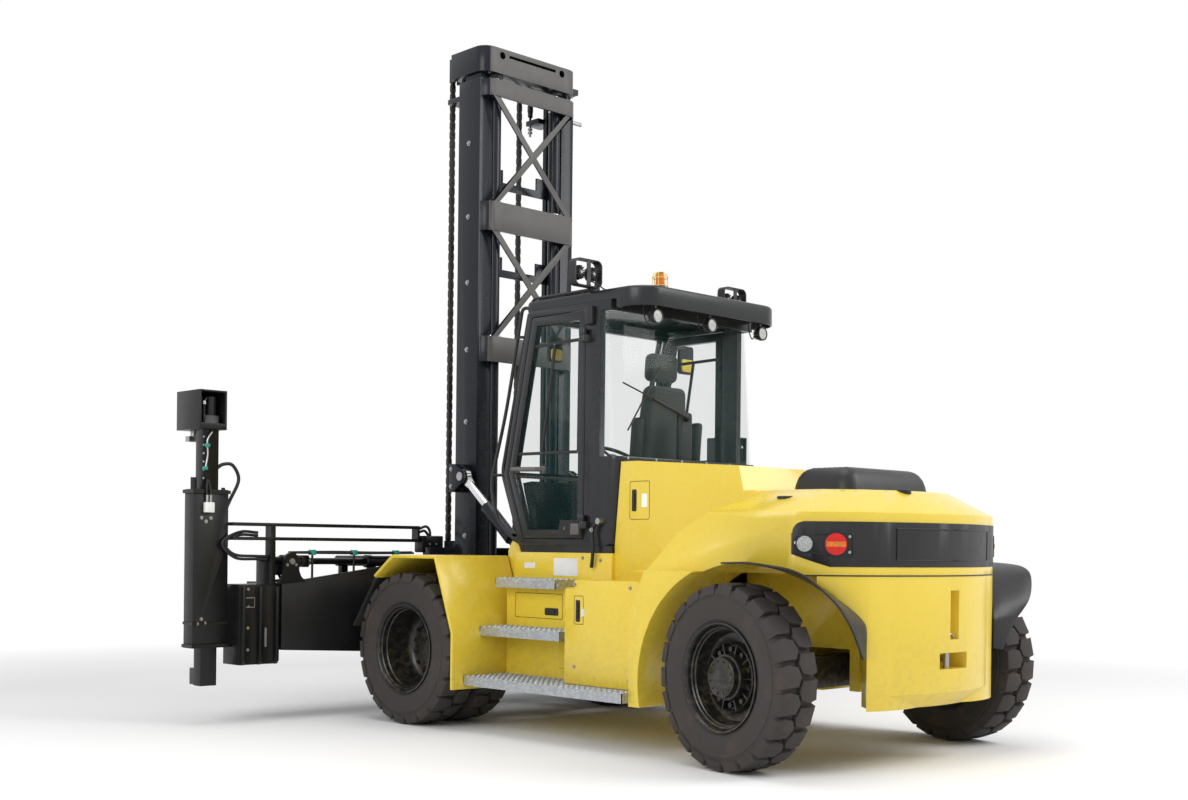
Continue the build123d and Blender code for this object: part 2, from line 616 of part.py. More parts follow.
with BuildPart() as seat_part:
    block((-1280, -960), (-200, 200), (cab_floor_top, 1745))
    block((-1340, -900), (-260, 260), (1740, 1880))
    side_plate([(-1300, 1800), (-1390, 2450), (-1480, 2450), (-1410, 1760)], (-250, 250))
    side_plate([(-1405, 2440), (-1420, 2690), (-1480, 2690), (-1470, 2440)], (-130, 130))
save(seat_part.part, "seat")

with BuildPart() as controls:
    with Locations(Location((-850, 0, 2010), (0, -25, 0))):
        Cylinder(190, 26)
        Cylinder(160, 26, mode=Mode.SUBTRACT)
        Box(30, 330, 20)
    block((-820, -700), (-60, 60), (cab_floor_top, cab_floor_top + 30))
    rod((-760, 0, cab_floor_top + 20), (-850, 0, 2010), 45)
    block((-1250, -900), (-430, -330), (cab_floor_top, 1960))
save(controls.part, "cab_controls")

with BuildPart() as rails:
    with BuildLine() as rail_path:
        FilletPolyline((-668, 705, cab_top - 5), (-382, 705, 1870), (-618, 705, deck_top + 7), radius=180)
    with BuildSketch(Plane(origin=rail_path.line @ 0, z_dir=rail_path.line % 0)):
        Circle(16)
    sweep()
    mirror(about=Plane.XZ)
save(rails.part, "grab_rails")

pair_x, pair_y, pair_depth = -1370, 780, 70     # lamp pairs on the roof's edges
pair_wide, pair_high, pair_sheet = 260, 190, 10
with BuildPart() as roof_lamps:
    top = cab_top + roof_thick
    pair_z = top + 25 + pair_high / 2
    for side in (1, -1):
        with BuildSketch(Plane(origin=(pair_x, side * pair_y, pair_z), x_dir=(0, 1, 0),
                               z_dir=(1, 0, 0))):
            RectangleRounded(pair_wide, pair_high, 45)
            RectangleRounded(pair_wide - 2 * pair_sheet, pair_high - 2 * pair_sheet, 36, mode=Mode.SUBTRACT)
            Rectangle(36, pair_high - pair_sheet)
        extrude(amount=pair_depth)
        for y in (pair_y - 62, pair_y + 62):
            rod((pair_x + 12, side * y, pair_z), (pair_x + pair_depth - 8, side * y, pair_z), 55)
        block((pair_x + 10, pair_x + 60), (side * (pair_y - 120), side * (pair_y - 60)), (top, top + 30))
    for y in (-560, 0, 560):
        rod((roof_rear + 40, y, cab_top - 125), (roof_rear + 110, y, cab_top - 125), 50)
        rod((roof_rear + 75, y, cab_top - 110), (roof_rear + 75, y, cab_top), 12)
save(roof_lamps.part, "roof_lamps")

beacon_x, beacon_y = -1720, 430
with BuildPart() as beacon:
    rod((beacon_x, beacon_y, top), (beacon_x, beacon_y, top + 30), 60)
    rod((beacon_x, beacon_y, top), (beacon_x, beacon_y, top + 130), 48)
    chamfer(beacon.faces().sort_by(Axis.Z)[-1].edges(), 16)
save(beacon.part, "beacon")

# Mast
# Cross ties, low and high edge of each
cross_ties = ((850, 1000), (rail_top - 2230, rail_top - 2030), (rail_top - 1200, rail_top - 970),
              (rail_top - 140, rail_top - 10))
with BuildPart() as outer_mast:
    with BuildSketch(Plane.XY.offset(rail_bottom)):
        with BuildLine():
            Polyline((rail_rear, 370), (rail_rear, rail_half), (rail_front, rail_half), (rail_front, 400),
                     (rail_front - rail_flange, 400), (rail_front - rail_flange, rail_half - rail_web),
                     (rail_rear + rail_flange, rail_half - rail_web), (rail_rear + rail_flange, 370),
                     close=True)
        make_face()
        mirror(about=Plane.XZ)
    extrude(amount=rail_top - rail_bottom)
    for low, high in cross_ties:
        with BuildSketch(Plane.XY.offset(low)) as tie:
            with Locations(((tie_rear + rail_front) / 2, 0)):
                Rectangle(rail_front - tie_rear, 2 * rail_half - 20)
            fillet(tie.vertices().group_by(Axis.X)[0], 110)
            offset(amount=-tie_sheet, mode=Mode.SUBTRACT)
            with Locations((rail_front, 0)):
                Rectangle(2 * (rail_front - rail_rear - 10), 3 * rail_half, mode=Mode.SUBTRACT)
        extrude(tie.sketch, amount=high - low)
    for low, high in ((cross_ties[1][1], cross_ties[2][0]), (cross_ties[2][1], cross_ties[3][0])):
        for side in (1, -1):
            cross_plate([(side * 370, low - 20), (side * 440, low - 20), (-side * 370, high + 20),
                         (-side * 440, high + 20)],
                        (tie_rear + 8, tie_rear + 20))
    for side in (1, -1):
        block((lift_x - 45, lift_x + 45), (side * 275, side * 380), (560, 600))
        rod((pivot_x, side * (rail_half - rail_web), pivot_z),
            (pivot_x, side * (plate_out + 14), pivot_z), pivot_pin)
        for inner, outer in ((555, 575), (625, 645)):
            side_plate([(155, 1850), (175, 1905), (285, 1960), (340, 1960), (340, 1740), (285, 1740),
                        (175, 1815)],
                       (side * inner, side * outer))
        block((285, 340), (side * (rail_half - 10), side * 645), (1740, 1960))
        rod((tilt_head[0], side * 555, tilt_head[1]), (tilt_head[0], side * 645, tilt_head[1]), tilt_pin)
        block((rail_front - 10, 585), (side * 335, side * rail_half), (chain_end - 70, chain_end - 30))
        rod((sheave_x - sheave_radius, side * chain_y, chain_end - 40),
            (sheave_x - sheave_radius, side * chain_y, chain_end - seat), 10)
save(outer_mast.part, "outer_mast")

with BuildPart() as barrels:
    for side in (1, -1):
        foot = (lift_x, side * lift_y, 600)
        rod(foot, (lift_x, side * lift_y, barrel_top), lift_barrel)
        rod((lift_x, side * lift_y, 640), (lift_x, side * lift_y, barrel_top - 50), lift_rod + 5,
            Mode.SUBTRACT)
        rod((lift_x, side * lift_y, barrel_top - 60), (lift_x, side * lift_y, barrel_top + 10),
            lift_rod + fit, Mode.SUBTRACT)
save(barrels.part, "lift_barrels")

with BuildPart() as lift_rods:
    for side in (1, -1):
        rod((lift_x, side * lift_y, 700), (lift_x, side * lift_y, inner_top), lift_rod)
save(lift_rods.part, "lift_rods")

inner_rear = rail_rear + rail_flange + run_gap
inner_front = rail_front - rail_flange - run_gap
inner_flange = 25
head_rear, head_front, head_high = 125, 540, 200    # crosshead on top of the inner mast
inner_tie = (268, 284)              # cross plates, between lift cylinders and carriage
with BuildPart() as inner_mast:
    with BuildSketch(Plane.XY.offset(inner_bottom)):
        with BuildLine():
            Polyline((inner_rear, 385), (inner_rear, inner_half), (inner_front, inner_half),
                     (inner_front, 385),
                     (inner_front - inner_flange, 385), (inner_front - inner_flange, inner_half - 24),
                     (inner_rear + inner_flange, inner_half - 24), (inner_rear + inner_flange, 385),
                     close=True)
        make_face()
        mirror(about=Plane.XZ)
    extrude(amount=inner_top - inner_bottom)
    with BuildSketch(Plane.XY.offset(inner_top)) as crosshead:
        with Locations(((head_rear + head_front) / 2, 0)):
            Rectangle(head_front - head_rear, 1010)
        fillet(crosshead.vertices().group_by(Axis.X)[0], 110)
    extrude(crosshead.sketch, amount=head_high)
    block((head_rear + 130, head_front + 10), (-250, 250), (inner_top - 10, inner_top + head_high + 10),
          Mode.SUBTRACT)
    for side in (1, -1):
        rod((head_rear - 10, side * lift_y, inner_top + 145),
            (head_rear + 60, side * lift_y, inner_top + 145), 28, Mode.SUBTRACT)
    block((head_rear - 10, head_rear + 50), (-250, 250), (inner_top + 140, inner_top + 162), Mode.SUBTRACT)
    for low, high in ((inner_top - 1570, inner_top - 1410), (inner_top - 870, inner_top - 710)):
        block(inner_tie, (-385, 385), (low, high))
        block((inner_tie[0] - 10, inner_tie[1] + 10), (-180, 180), (low + 60, high + 10), Mode.SUBTRACT)
        for side in (1, -1):
            block((inner_rear, inner_tie[1]), (side * 373, side * 385), (low, high))
            block((inner_rear, inner_rear + inner_flange), (side * 373, side * 390), (low, high))
    for side in (1, -1):
        for inner, outer in ((316, 330), (390, 404)):
            block((520, 690), (side * inner, side * outer), (inner_top + 30, sheave_z + 90))
        rod((sheave_x, side * 316, sheave_z), (sheave_x, side * 404, sheave_z), 22)
        rod((sheave_x, side * 334, sheave_z), (sheave_x, side * 386, sheave_z), sheave_radius - 12)
save(inner_mast.part, "inner_mast")

anchor_top = 1360
with BuildPart() as chains:
    for side in (1, -1):
        y = (side * (chain_y - 20), side * (chain_y + 20))
        block((chain_front - 12, chain_front + 12), y, (anchor_top + seat, sheave_z))
        rear = 2 * sheave_x - chain_front
        block((rear - 12, rear + 12), y, (chain_end, sheave_z))
        with BuildSketch(Plane(origin=(sheave_x, max(y), sheave_z), x_dir=(1, 0, 0), z_dir=(0, -1, 0))):
            Circle(sheave_radius + 12)
            Circle(sheave_radius - 12 + seat, mode=Mode.SUBTRACT)
            with Locations((0, -100)):
                Rectangle(400, 200, mode=Mode.SUBTRACT)
        extrude(amount=40)
save(chains.part, "lift_chains")

roller_x = (inner_rear + inner_front) / 2
roller_radius = (inner_front - inner_rear) / 2 - inner_flange - seat
bar_low, bar_high = (470, 530), (1190, 1250)
with BuildPart() as carriage:
    block((carriage_rear, carriage_front), (-620, 620), (450, anchor_top - 55))
    block((carriage_rear - 10, carriage_front + 10), (-200, 200), (620, 1120), Mode.SUBTRACT)
    for low, high in (bar_low, bar_high):
        block((carriage_front, carriage_front + 40), (-620, 620), (low, high))
    for side in (1, -1):
        side_plate([(roller_x - 17, 480), (roller_x - 17, 1240), (carriage_rear + 5, 1290),
                    (carriage_rear + 5, 460)],
                   (side * 225, side * 255))
        block((610, 720), (side * (chain_y - 25), side * (chain_y + 25)), (anchor_top - 55, anchor_top))
        for z in (570, 1150):
            rod((roller_x, side * 245, z), (roller_x, side * 400, z), 17)
            rod((roller_x, side * 395, z), (roller_x, side * 434, z), roller_radius)
save(carriage.part, "carriage")

# Tilt cylinders
reach_x, reach_z = tilt_head[0] - tilt_base[0], tilt_head[1] - tilt_base[1]
reach = hypot(reach_x, reach_z)


def along_tilt(distance, offset_up=0):
    return (tilt_base[0] + (reach_x * distance - reach_z * offset_up) / reach,
            tilt_base[1] + (reach_z * distance + reach_x * offset_up) / reach)


def tilt_point(distance, y):
    x, z = along_tilt(distance)
    return (x, y, z)


for name, side in (("left", 1), ("right", -1)):
    y = side * tilt_y
    eye = (side * (tilt_y - 20), side * (tilt_y + 20))
    with BuildPart() as tilt_barrel_part:
        rod((tilt_base[0], eye[0], tilt_base[1]), (tilt_base[0], eye[1], tilt_base[1]), 50)
        side_plate([along_tilt(0, 34), along_tilt(130, 34), along_tilt(130, -34), along_tilt(0, -34)], eye)
        rod(tilt_point(118, y), tilt_point(500, y), tilt_barrel)
        rod(tilt_point(140, y), tilt_point(462, y), tilt_rod + 10, Mode.SUBTRACT)
        rod(tilt_point(455, y), tilt_point(510, y), tilt_rod + fit, Mode.SUBTRACT)
        rod((tilt_base[0], eye[0] - side, tilt_base[1]), (tilt_base[0], eye[1] + side, tilt_base[1]),
            tilt_pin + fit, Mode.SUBTRACT)
    save(tilt_barrel_part.part, f"tilt_barrel_{name}")
    with BuildPart() as tilt_rod_part:
        rod(tilt_point(345, y), tilt_point(reach - 95, y), tilt_rod)
        side_plate([along_tilt(reach - 110, 26), along_tilt(reach, 40), along_tilt(reach, -40),
                    along_tilt(reach - 110, -26)], eye)
        rod((tilt_head[0], eye[0], tilt_head[1]), (tilt_head[0], eye[1], tilt_head[1]), 60)
        rod((tilt_head[0], eye[0] - side, tilt_head[1]), (tilt_head[0], eye[1] + side, tilt_head[1]),
            tilt_pin + tilt_drift, Mode.SUBTRACT)
    save(tilt_rod_part.part, f"tilt_rod_{name}")

# Spreader
mid_wall = (960, 980)
ram_gland = 1560                    # from the spreader's middle
arm_in, arm_out, box_out = -1900, 2420, 2740
ram_stroke = 3066
arm_low, arm_high = beam_low + beam_sheet + run_gap, beam_high - beam_sheet - run_gap
pockets = {"left": (beam_rear + 25, mid_wall[0]), "right": (mid_wall[1], beam_front - 25)}
with BuildPart() as spreader:
    low, high = (shift - beam_half, shift + beam_half)
    cross_plate([(low, beam_low), (low, beam_high), (shift - 900, 1230), (shift + 900, 1230),
                 (high, beam_high),
                 (high, beam_low), (shift + 900, 450), (shift - 900, 450)], (beam_rear, beam_rear + 25))
    block((beam_front - 25, beam_front), (low, high), (beam_low, beam_high))
    block(mid_wall, (low, high), (beam_low, beam_high))
    block((beam_rear, beam_front), (low, high), (beam_high - beam_sheet, beam_high))
    block((beam_rear, beam_front), (low, high), (beam_low, beam_low + beam_sheet))
    block((carriage_front + 7, beam_rear + 10), (shift - 550, shift + 550), (bar_high[1] + seat, 1290))
    block((beam_rear, beam_rear + 25), (shift - 550, shift + 550), (1200, 1290))
    block((carriage_front + 7, beam_rear + 10), (shift - 550, shift + 550), (430, bar_low[0] - seat))
    block((beam_rear, beam_rear + 25), (shift - 550, shift + 550), (430, 480))
    for name, side in (("left", 1), ("right", -1)):
        x = sum(pockets[name]) / 2
        gland = shift + side * ram_gland
        rear = shift - side * (ram_stroke - ram_gland + 160)
        rod((x, rear, ram_z), (x, gland, ram_z), ram_barrel)
        for y in (gland - side * 60, rear + side * 60):
            block((x - 26, x + 26), (y - 30, y + 30), (beam_high - 5, ram_z - 20))
        rod((x, rear + side * 40, ram_z), (x, gland - side * 40, ram_z), ram_rod + 6, Mode.SUBTRACT)
        rod((x, gland - side * 60, ram_z), (x, gland + side * 5, ram_z), ram_rod + fit, Mode.SUBTRACT)
save(spreader.part, "spreader_frame")

for name, side in (("left", 1), ("right", -1)):
    tube = (pockets[name][0] + run_gap, pockets[name][1] - run_gap)
    x = sum(pockets[name]) / 2
    box = (min(tube[0], leg_x - 65), max(tube[1], leg_x + 70))
    leg_y = shift + side * twist_span / 2

    def at(distance):
        return shift + side * distance

    with BuildPart() as arm:
        block(tube, (at(arm_in), at(arm_out + 5)), (arm_low, arm_high))
        block((tube[0] + arm_wall, tube[1] - arm_wall), (at(arm_in - 5), at(arm_out)),
              (arm_low + arm_wall, arm_high - arm_wall), Mode.SUBTRACT)
        block(box, (at(arm_out), at(box_out)), (430, 1020))
        for rib in (arm_out + 20, (arm_out + box_out) / 2, box_out - 20):
            side_plate([(box[0], 430), (box[0], 1005), (box[0] - 45, 1005), (box[0] - 45, 455),
                        (box[0] - 20, 430)],
                       (at(rib - 12), at(rib + 12)))
        block((leg_x - 55, leg_x + 55), (at(box_out - 5), at(twist_span / 2 - 130)), (sleeve_low, 1010))
        half_x, half_y = leg_depth / 2 + seat + sleeve_wall, 140
        block((leg_x - half_x, leg_x + half_x), (leg_y - half_y, leg_y + half_y), (sleeve_low, sleeve_high))
        block((leg_x - leg_depth / 2 - seat, leg_x + leg_depth / 2 + seat),
              (leg_y - leg_width / 2 - seat, leg_y + leg_width / 2 + seat),
              (sleeve_low - 5, sleeve_high + 5), Mode.SUBTRACT)
        block((x - 32, x + 32), (at(arm_out + 10), at(arm_out + 100)), (1010, ram_z + 30))
        rod((x, at(arm_out + 55), ram_z), (x, at(2150), ram_z), 35)
        block((x - 45, x + 45), (at(2110), at(2170)), (ram_z - 45, ram_z + 45))
        rod((x, at(2150), ram_z), (x, at(ram_gland - ram_stroke - 40), ram_z), ram_rod)
        trough = (x - 90, x - 10)
        for low, high in ((1345, 1370), (1450, 1475)):
            block(trough, (at(1090), at(twist_span / 2 - 138)), (low, high))
        block(trough, (at(1090), at(1112)), (1345, 1475))
        block(trough, (at(arm_out + 10), at(arm_out + 50)), (1010, 1475))
    save(arm.part, f"arm_{name}")

    with BuildPart() as leg:
        block((leg_x - 85, twist_x + 56), (leg_y - head_half, leg_y + head_half), (2145, leg_head))
        block((leg_x - 100, twist_x + 42), (leg_y - head_half + 14, leg_y + head_half - 14),
              (2190, leg_head - 14), Mode.SUBTRACT)
        block((leg_x - leg_depth / 2, leg_x + leg_depth / 2),
              (leg_y - leg_width / 2, leg_y + leg_width / 2), (leg_foot, 2250))
        block((leg_x, pad_face), (leg_y - leg_width / 2, leg_y + leg_width / 2), (290, 410))
        rod((twist_x, leg_y, 2100), (twist_x, leg_y, 2200), twist_pin + fit, Mode.SUBTRACT)
    save(leg.part, f"leg_{name}")

    with BuildPart() as twistlock:
        rod((twist_x, leg_y, 2090), (twist_x, leg_y, 2200), twist_pin)
        rod((twist_x, leg_y, 2190 + seat), (twist_x, leg_y, 2215), 40)
        block((twist_x - 28, twist_x + 28), (leg_y - 52, leg_y + 52), (2065, 2105))
    save(twistlock.part, f"twistlock_{name}")
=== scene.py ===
import json
import math
from math import cos, pi, radians, sin

import bmesh
import bpy
from mathutils import Matrix, Vector


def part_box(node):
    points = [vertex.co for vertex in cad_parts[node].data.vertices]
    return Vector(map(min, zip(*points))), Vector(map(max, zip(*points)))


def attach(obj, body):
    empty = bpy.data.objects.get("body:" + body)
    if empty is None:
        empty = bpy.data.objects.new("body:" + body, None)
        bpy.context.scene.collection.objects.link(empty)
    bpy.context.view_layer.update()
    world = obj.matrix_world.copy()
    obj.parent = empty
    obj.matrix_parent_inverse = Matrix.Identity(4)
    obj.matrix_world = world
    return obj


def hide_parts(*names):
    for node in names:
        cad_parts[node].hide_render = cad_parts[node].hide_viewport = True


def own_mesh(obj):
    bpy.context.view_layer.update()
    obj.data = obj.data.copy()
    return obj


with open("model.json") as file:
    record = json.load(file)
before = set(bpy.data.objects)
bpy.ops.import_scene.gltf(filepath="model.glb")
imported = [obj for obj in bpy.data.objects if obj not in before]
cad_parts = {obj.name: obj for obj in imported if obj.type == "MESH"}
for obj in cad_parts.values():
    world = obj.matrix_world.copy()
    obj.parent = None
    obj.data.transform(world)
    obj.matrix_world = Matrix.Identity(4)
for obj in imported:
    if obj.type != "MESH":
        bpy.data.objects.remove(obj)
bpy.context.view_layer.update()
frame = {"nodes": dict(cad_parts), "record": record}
nodes = frame["nodes"]
scene = bpy.context.scene
scene.view_settings.view_transform = "Standard"


# Camera, light and floor

cameraSettings = {
    "place": (-8.804, 7.888, 1.329),
    "yaw": 44.02,          # degrees from +X towards -Y
    "roll": 0.61,
    "focal": 1478.5,       # in pixels of the picture
    "centre": (594, 546),  # where the optical axis meets the picture
    "picture": (1188, 800),
    "sensor": 36,          # millimetres
    "clipEnd": 200,
}


def makeCamera(settings):
    yaw, roll = radians(settings["yaw"]), radians(settings["roll"])
    ahead = Vector((cos(yaw), -sin(yaw), 0))
    side = Vector((-sin(yaw), -cos(yaw), 0))
    up = Vector((0, 0, 1))
    right = side * cos(roll) + up * sin(roll)
    above = up * cos(roll) - side * sin(roll)
    data = bpy.data.cameras.new("photoCamera")
    width, height = settings["picture"]
    data.sensor_fit = "HORIZONTAL"
    data.sensor_width = settings["sensor"]
    data.lens = settings["focal"] * data.sensor_width / width
    data.shift_x = (width / 2 - settings["centre"][0]) / width
    data.shift_y = (settings["centre"][1] - height / 2) / width
    data.clip_end = settings["clipEnd"]
    camera = bpy.data.objects.new("photoCamera", data)
    turn = Matrix((right, above, -ahead)).transposed().to_4x4()
    camera.matrix_world = Matrix.Translation(settings["place"]) @ turn
    scene.collection.objects.link(camera)
    scene.camera = camera


makeCamera(cameraSettings)

studio = {
    "worldLight": 0.52,
    # name, place, aim, size, watts
    "softboxes": (
        ("keyBox", (-9.0, -4.5, 7.5), (-1.5, 0, 1.6), 6.0, 580),
        ("sideBox", (-3.0, 11.0, 6.0), (-1.0, 0, 1.2), 6.0, 470),
        ("topBox", (-1.0, 1.0, 12.0), (-1.2, 0, 1.0), 7.0, 400),
    ),
    "floorSize": 60, "floorColor": (0.93, 0.93, 0.93, 1),
    # distances from the origin where the floor starts and ends its fade to white
    "floorFade": (5.0, 9.0),
}


def setInputs(tree, node, inputs):
    # each input takes a link from a socket, or a plain value
    for socket, given in inputs.items():
        if isinstance(given, bpy.types.NodeSocket):
            tree.links.new(given, node.inputs[socket])
        else:
            node.inputs[socket].default_value = given


def addNode(tree, kind, inputs=None, **settings):
    node = tree.nodes.new("ShaderNode" + kind)
    for name, value in settings.items():
        setattr(node, name, value)
    setInputs(tree, node, inputs or {})
    return node


def makeWorld(settings):
    # white where it is seen, directly or in glass and gloss, and dimmer as a light
    scene.world = bpy.data.worlds.new("studioWorld")
    scene.world.use_nodes = True
    tree = scene.world.node_tree
    tree.nodes.clear()
    path = addNode(tree, "LightPath").outputs
    seen = addNode(tree, "Math", {0: path["Is Camera Ray"], 1: path["Is Transmission Ray"]},
                   operation="MAXIMUM")
    seen = addNode(tree, "Math", {0: seen.outputs[0], 1: path["Is Glossy Ray"]}, operation="MAXIMUM")
    level = addNode(tree, "MapRange", {"Value": seen.outputs[0], "To Min": settings["worldLight"],
            "To Max": 1.0})
    back = addNode(tree, "Background", {"Color": (1, 1, 1, 1), "Strength": level.outputs["Result"]})
    addNode(tree, "OutputWorld", {"Surface": back.outputs[0]})


def makeFloor(settings):
    bm = bmesh.new()
    bmesh.ops.create_grid(bm, x_segments=2, y_segments=2, size=settings["floorSize"] / 2)
    mesh = bpy.data.meshes.new("studioFloor")
    bm.to_mesh(mesh)
    bm.free()
    floor = bpy.data.objects.new("studioFloor", mesh)
    scene.collection.objects.link(floor)
    material = bpy.data.materials.new("floorWhite")
    material.use_nodes = True
    tree = material.node_tree
    tree.nodes.clear()
    coord = addNode(tree, "TexCoord")
    length = addNode(tree, "VectorMath", {0: coord.outputs["Object"]}, operation="LENGTH")
    near, far = settings["floorFade"]
    fade = addNode(tree, "MapRange", {"Value": length.outputs["Value"], "From Min": near,
            "From Max": far})
    diffuse = addNode(tree, "BsdfDiffuse", {"Color": settings["floorColor"]})
    glow = addNode(tree, "Emission", {"Strength": 1.0})
    mix = addNode(tree, "MixShader", {0: fade.outputs["Result"], 1: diffuse.outputs[0],
            2: glow.outputs[0]})
    addNode(tree, "OutputMaterial", {"Surface": mix.outputs[0]})
    mesh.materials.append(material)


def makeStudio(settings):
    makeWorld(settings)
    for name, place, aim, size, watts in settings["softboxes"]:
        light = bpy.data.lights.new(name, "AREA")
        light.shape = "SQUARE"
        light.size = size
        light.energy = watts
        lamp = bpy.data.objects.new(name, light)
        lamp.location = place
        lamp.rotation_euler = (Vector(aim) - Vector(place)).to_track_quat("-Z", "Y").to_euler()
        scene.collection.objects.link(lamp)
    makeFloor(settings)


makeStudio(studio)
print("camera and studio ready")


# Materials


class Paint:
    def __init__(self, name):
        self.material = bpy.data.materials.new(name)
        self.material.use_nodes = True
        self.tree = self.material.node_tree
        self.shader = self.tree.nodes["Principled BSDF"]
        self.place = self.add("TexCoord").outputs["Object"]

    def add(self, kind, inputs=None, **settings):
        return addNode(self.tree, kind, inputs, **settings)

    def give(self, inputs):
        setInputs(self.tree, self.shader, inputs)

    def noise(self, scale, detail, rough=0.55, stretch=None):
        place = self.place
        if stretch:
            place = self.add("Mapping", {"Vector": place, "Scale": stretch}).outputs["Vector"]
        inputs = {"Vector": place, "Scale": scale, "Detail": detail, "Roughness": rough}
        return self.add("TexNoise", inputs).outputs["Fac"]

    def cells(self, scale):
        return self.add("TexVoronoi", {"Vector": self.place, "Scale": scale}).outputs

    def ramp(self, source, stops):
        node = self.add("ValToRGB", {"Fac": source})
        points = node.color_ramp.elements
        while len(points) < len(stops):
            points.new(0.5)
        for point, (where, color) in zip(points, stops):
            point.position = where
            point.color = (*color, 1)
        return node.outputs["Color"]

    def spread(self, source, low, high, fromLow=0.0, fromHigh=1.0):
        return self.add("MapRange", {"Value": source, "From Min": fromLow, "From Max": fromHigh,
                                     "To Min": low, "To Max": high}).outputs["Result"]

    def mixColor(self, factor, first, second):
        return self.add("Mix", {0: factor, 6: first, 7: (*second, 1)}, data_type="RGBA").outputs[2]

    def multiply(self, first, second):
        return self.add("Math", {0: first, 1: second}, operation="MULTIPLY").outputs[0]

    def bump(self, source, distance, strength):
        node = self.add("Bump", {"Height": source, "Distance": distance, "Strength": strength})
        self.give({"Normal": node.outputs["Normal"]})

    def heightShare(self, low, high):
        return self.spread(self.add("SeparateXYZ", {0: self.place}).outputs["Z"], 0.0, 1.0, low, high)


def scaled(color, share):
    return tuple(c * share for c in color)


def glossPaint(name, color, deep, rough, coat=0.25, dusty=0.0, peel=0.0004, shine=0.5):
    paint = Paint(name)
    tone = paint.ramp(paint.noise(1.3, 4), ((0.3, deep), (0.62, color)))
    if dusty:
        # specks of road dirt, thicker towards the ground
        specks = paint.spread(paint.noise(22, 5, 0.7), 0.0, dusty, 0.45, 0.75)
        tone = paint.mixColor(paint.multiply(specks, paint.heightShare(1.1, 0.25)), tone,
                              (0.28, 0.22, 0.12))
    paint.give({"Base Color": tone, "Roughness": paint.spread(paint.noise(9, 5), rough * 0.8,
            rough * 1.25),
                "Coat Weight": coat, "Coat Roughness": 0.09, "Specular IOR Level": shine})
    paint.bump(paint.noise(240, 2), peel, 0.25)
    return paint.material


def rubber(name, color, brown, rough):
    paint = Paint(name)
    tone = paint.ramp(paint.noise(5.5, 6, 0.65), ((0.32, color), (0.52, color), (0.72, brown)))
    fine = paint.noise(160, 4, 0.7)
    tone = paint.mixColor(paint.spread(fine, 0.0, 0.35, 0.4, 0.8), tone, scaled(color, 1.7))
    paint.give({"Base Color": tone, "Roughness": paint.spread(fine, rough - 0.08, rough + 0.08),
                "Specular IOR Level": 0.35})
    paint.bump(fine, 0.0015, 0.35)
    return paint.material


def grainedPlastic(name, color, rough, grain=420, depth=0.0006, shine=0.35):
    paint = Paint(name)
    tone = paint.ramp(paint.noise(3.0, 4), ((0.35, color), (0.7, tuple(c * 1.35 + 0.002 for c in color))))
    paint.give({"Base Color": tone, "Roughness": paint.spread(paint.noise(14, 4), rough - 0.07,
            rough + 0.07),
                "Specular IOR Level": shine})
    paint.bump(paint.noise(grain, 2, 0.6), depth, 0.4)
    return paint.material


def galvanised(name):
    paint = Paint(name)
    spangle = paint.cells(70)
    tone = paint.ramp(spangle["Color"], ((0.2, (0.36, 0.385, 0.41)), (0.8, (0.52, 0.54, 0.56))))
    streak = paint.noise(14, 5, 0.6, (1, 1, 4))
    tone = paint.mixColor(paint.spread(streak, 0.0, 0.5, 0.45, 0.8), tone, (0.30, 0.32, 0.34))
    paint.give({"Base Color": tone, "Metallic": 0.75,
                "Roughness": paint.spread(spangle["Distance"], 0.34, 0.55, 0, 0.6)})
    paint.bump(streak, 0.0008, 0.25)
    return paint.material


def polishedSteel(name, color, rough, metallic=1.0, lines=(260, 260, 12)):
    paint = Paint(name)
    brushed = paint.noise(1.0, 3, 0.6, lines)
    tone = paint.ramp(brushed, ((0.3, scaled(color, 0.86)), (0.7, color)))
    paint.give({"Base Color": tone, "Metallic": metallic,
                "Roughness": paint.spread(brushed, rough * 0.7, rough * 1.4)})
    paint.bump(brushed, 0.0003, 0.15)
    return paint.material


def tintedGlass(name, color, alpha):
    paint = Paint(name)
    tone = paint.ramp(paint.noise(2.2, 3), ((0.3, color), (0.7, scaled(color, 1.25))))
    paint.give({"Base Color": tone, "Alpha": alpha, "Specular IOR Level": 0.9,
                "Roughness": paint.spread(paint.noise(7, 3), 0.02, 0.06)})
    return paint.material


def lens(name, color, rough, ribs, glow=0.0):
    paint = Paint(name)
    dots = paint.cells(ribs)["Distance"]
    tone = paint.ramp(dots, ((0.0, color), (0.55, scaled(color, 0.55))))
    paint.give({"Base Color": tone, "Roughness": paint.spread(dots, rough, rough + 0.08, 0, 0.6),
                "Coat Weight": 0.3, "Coat Roughness": 0.04, "Specular IOR Level": 0.3})
    if glow:
        paint.give({"Emission Color": (*color, 1), "Emission Strength": glow})
    paint.bump(dots, 0.002, 0.4)
    return paint.material


def wovenCloth(name, color, threads):
    paint = Paint(name)
    inputs = {"Vector": paint.place, "Scale": threads}
    warp = paint.add("TexWave", inputs)
    weft = paint.add("TexWave", inputs, bands_direction="Z")
    weave = paint.multiply(warp.outputs["Fac"], weft.outputs["Fac"])
    tone = paint.ramp(weave, ((0.0, scaled(color, 0.6)), (0.8, color)))
    paint.give({"Base Color": tone, "Roughness": 0.85, "Sheen Weight": 0.25})
    paint.bump(weave, 0.001, 0.5)
    return paint.material


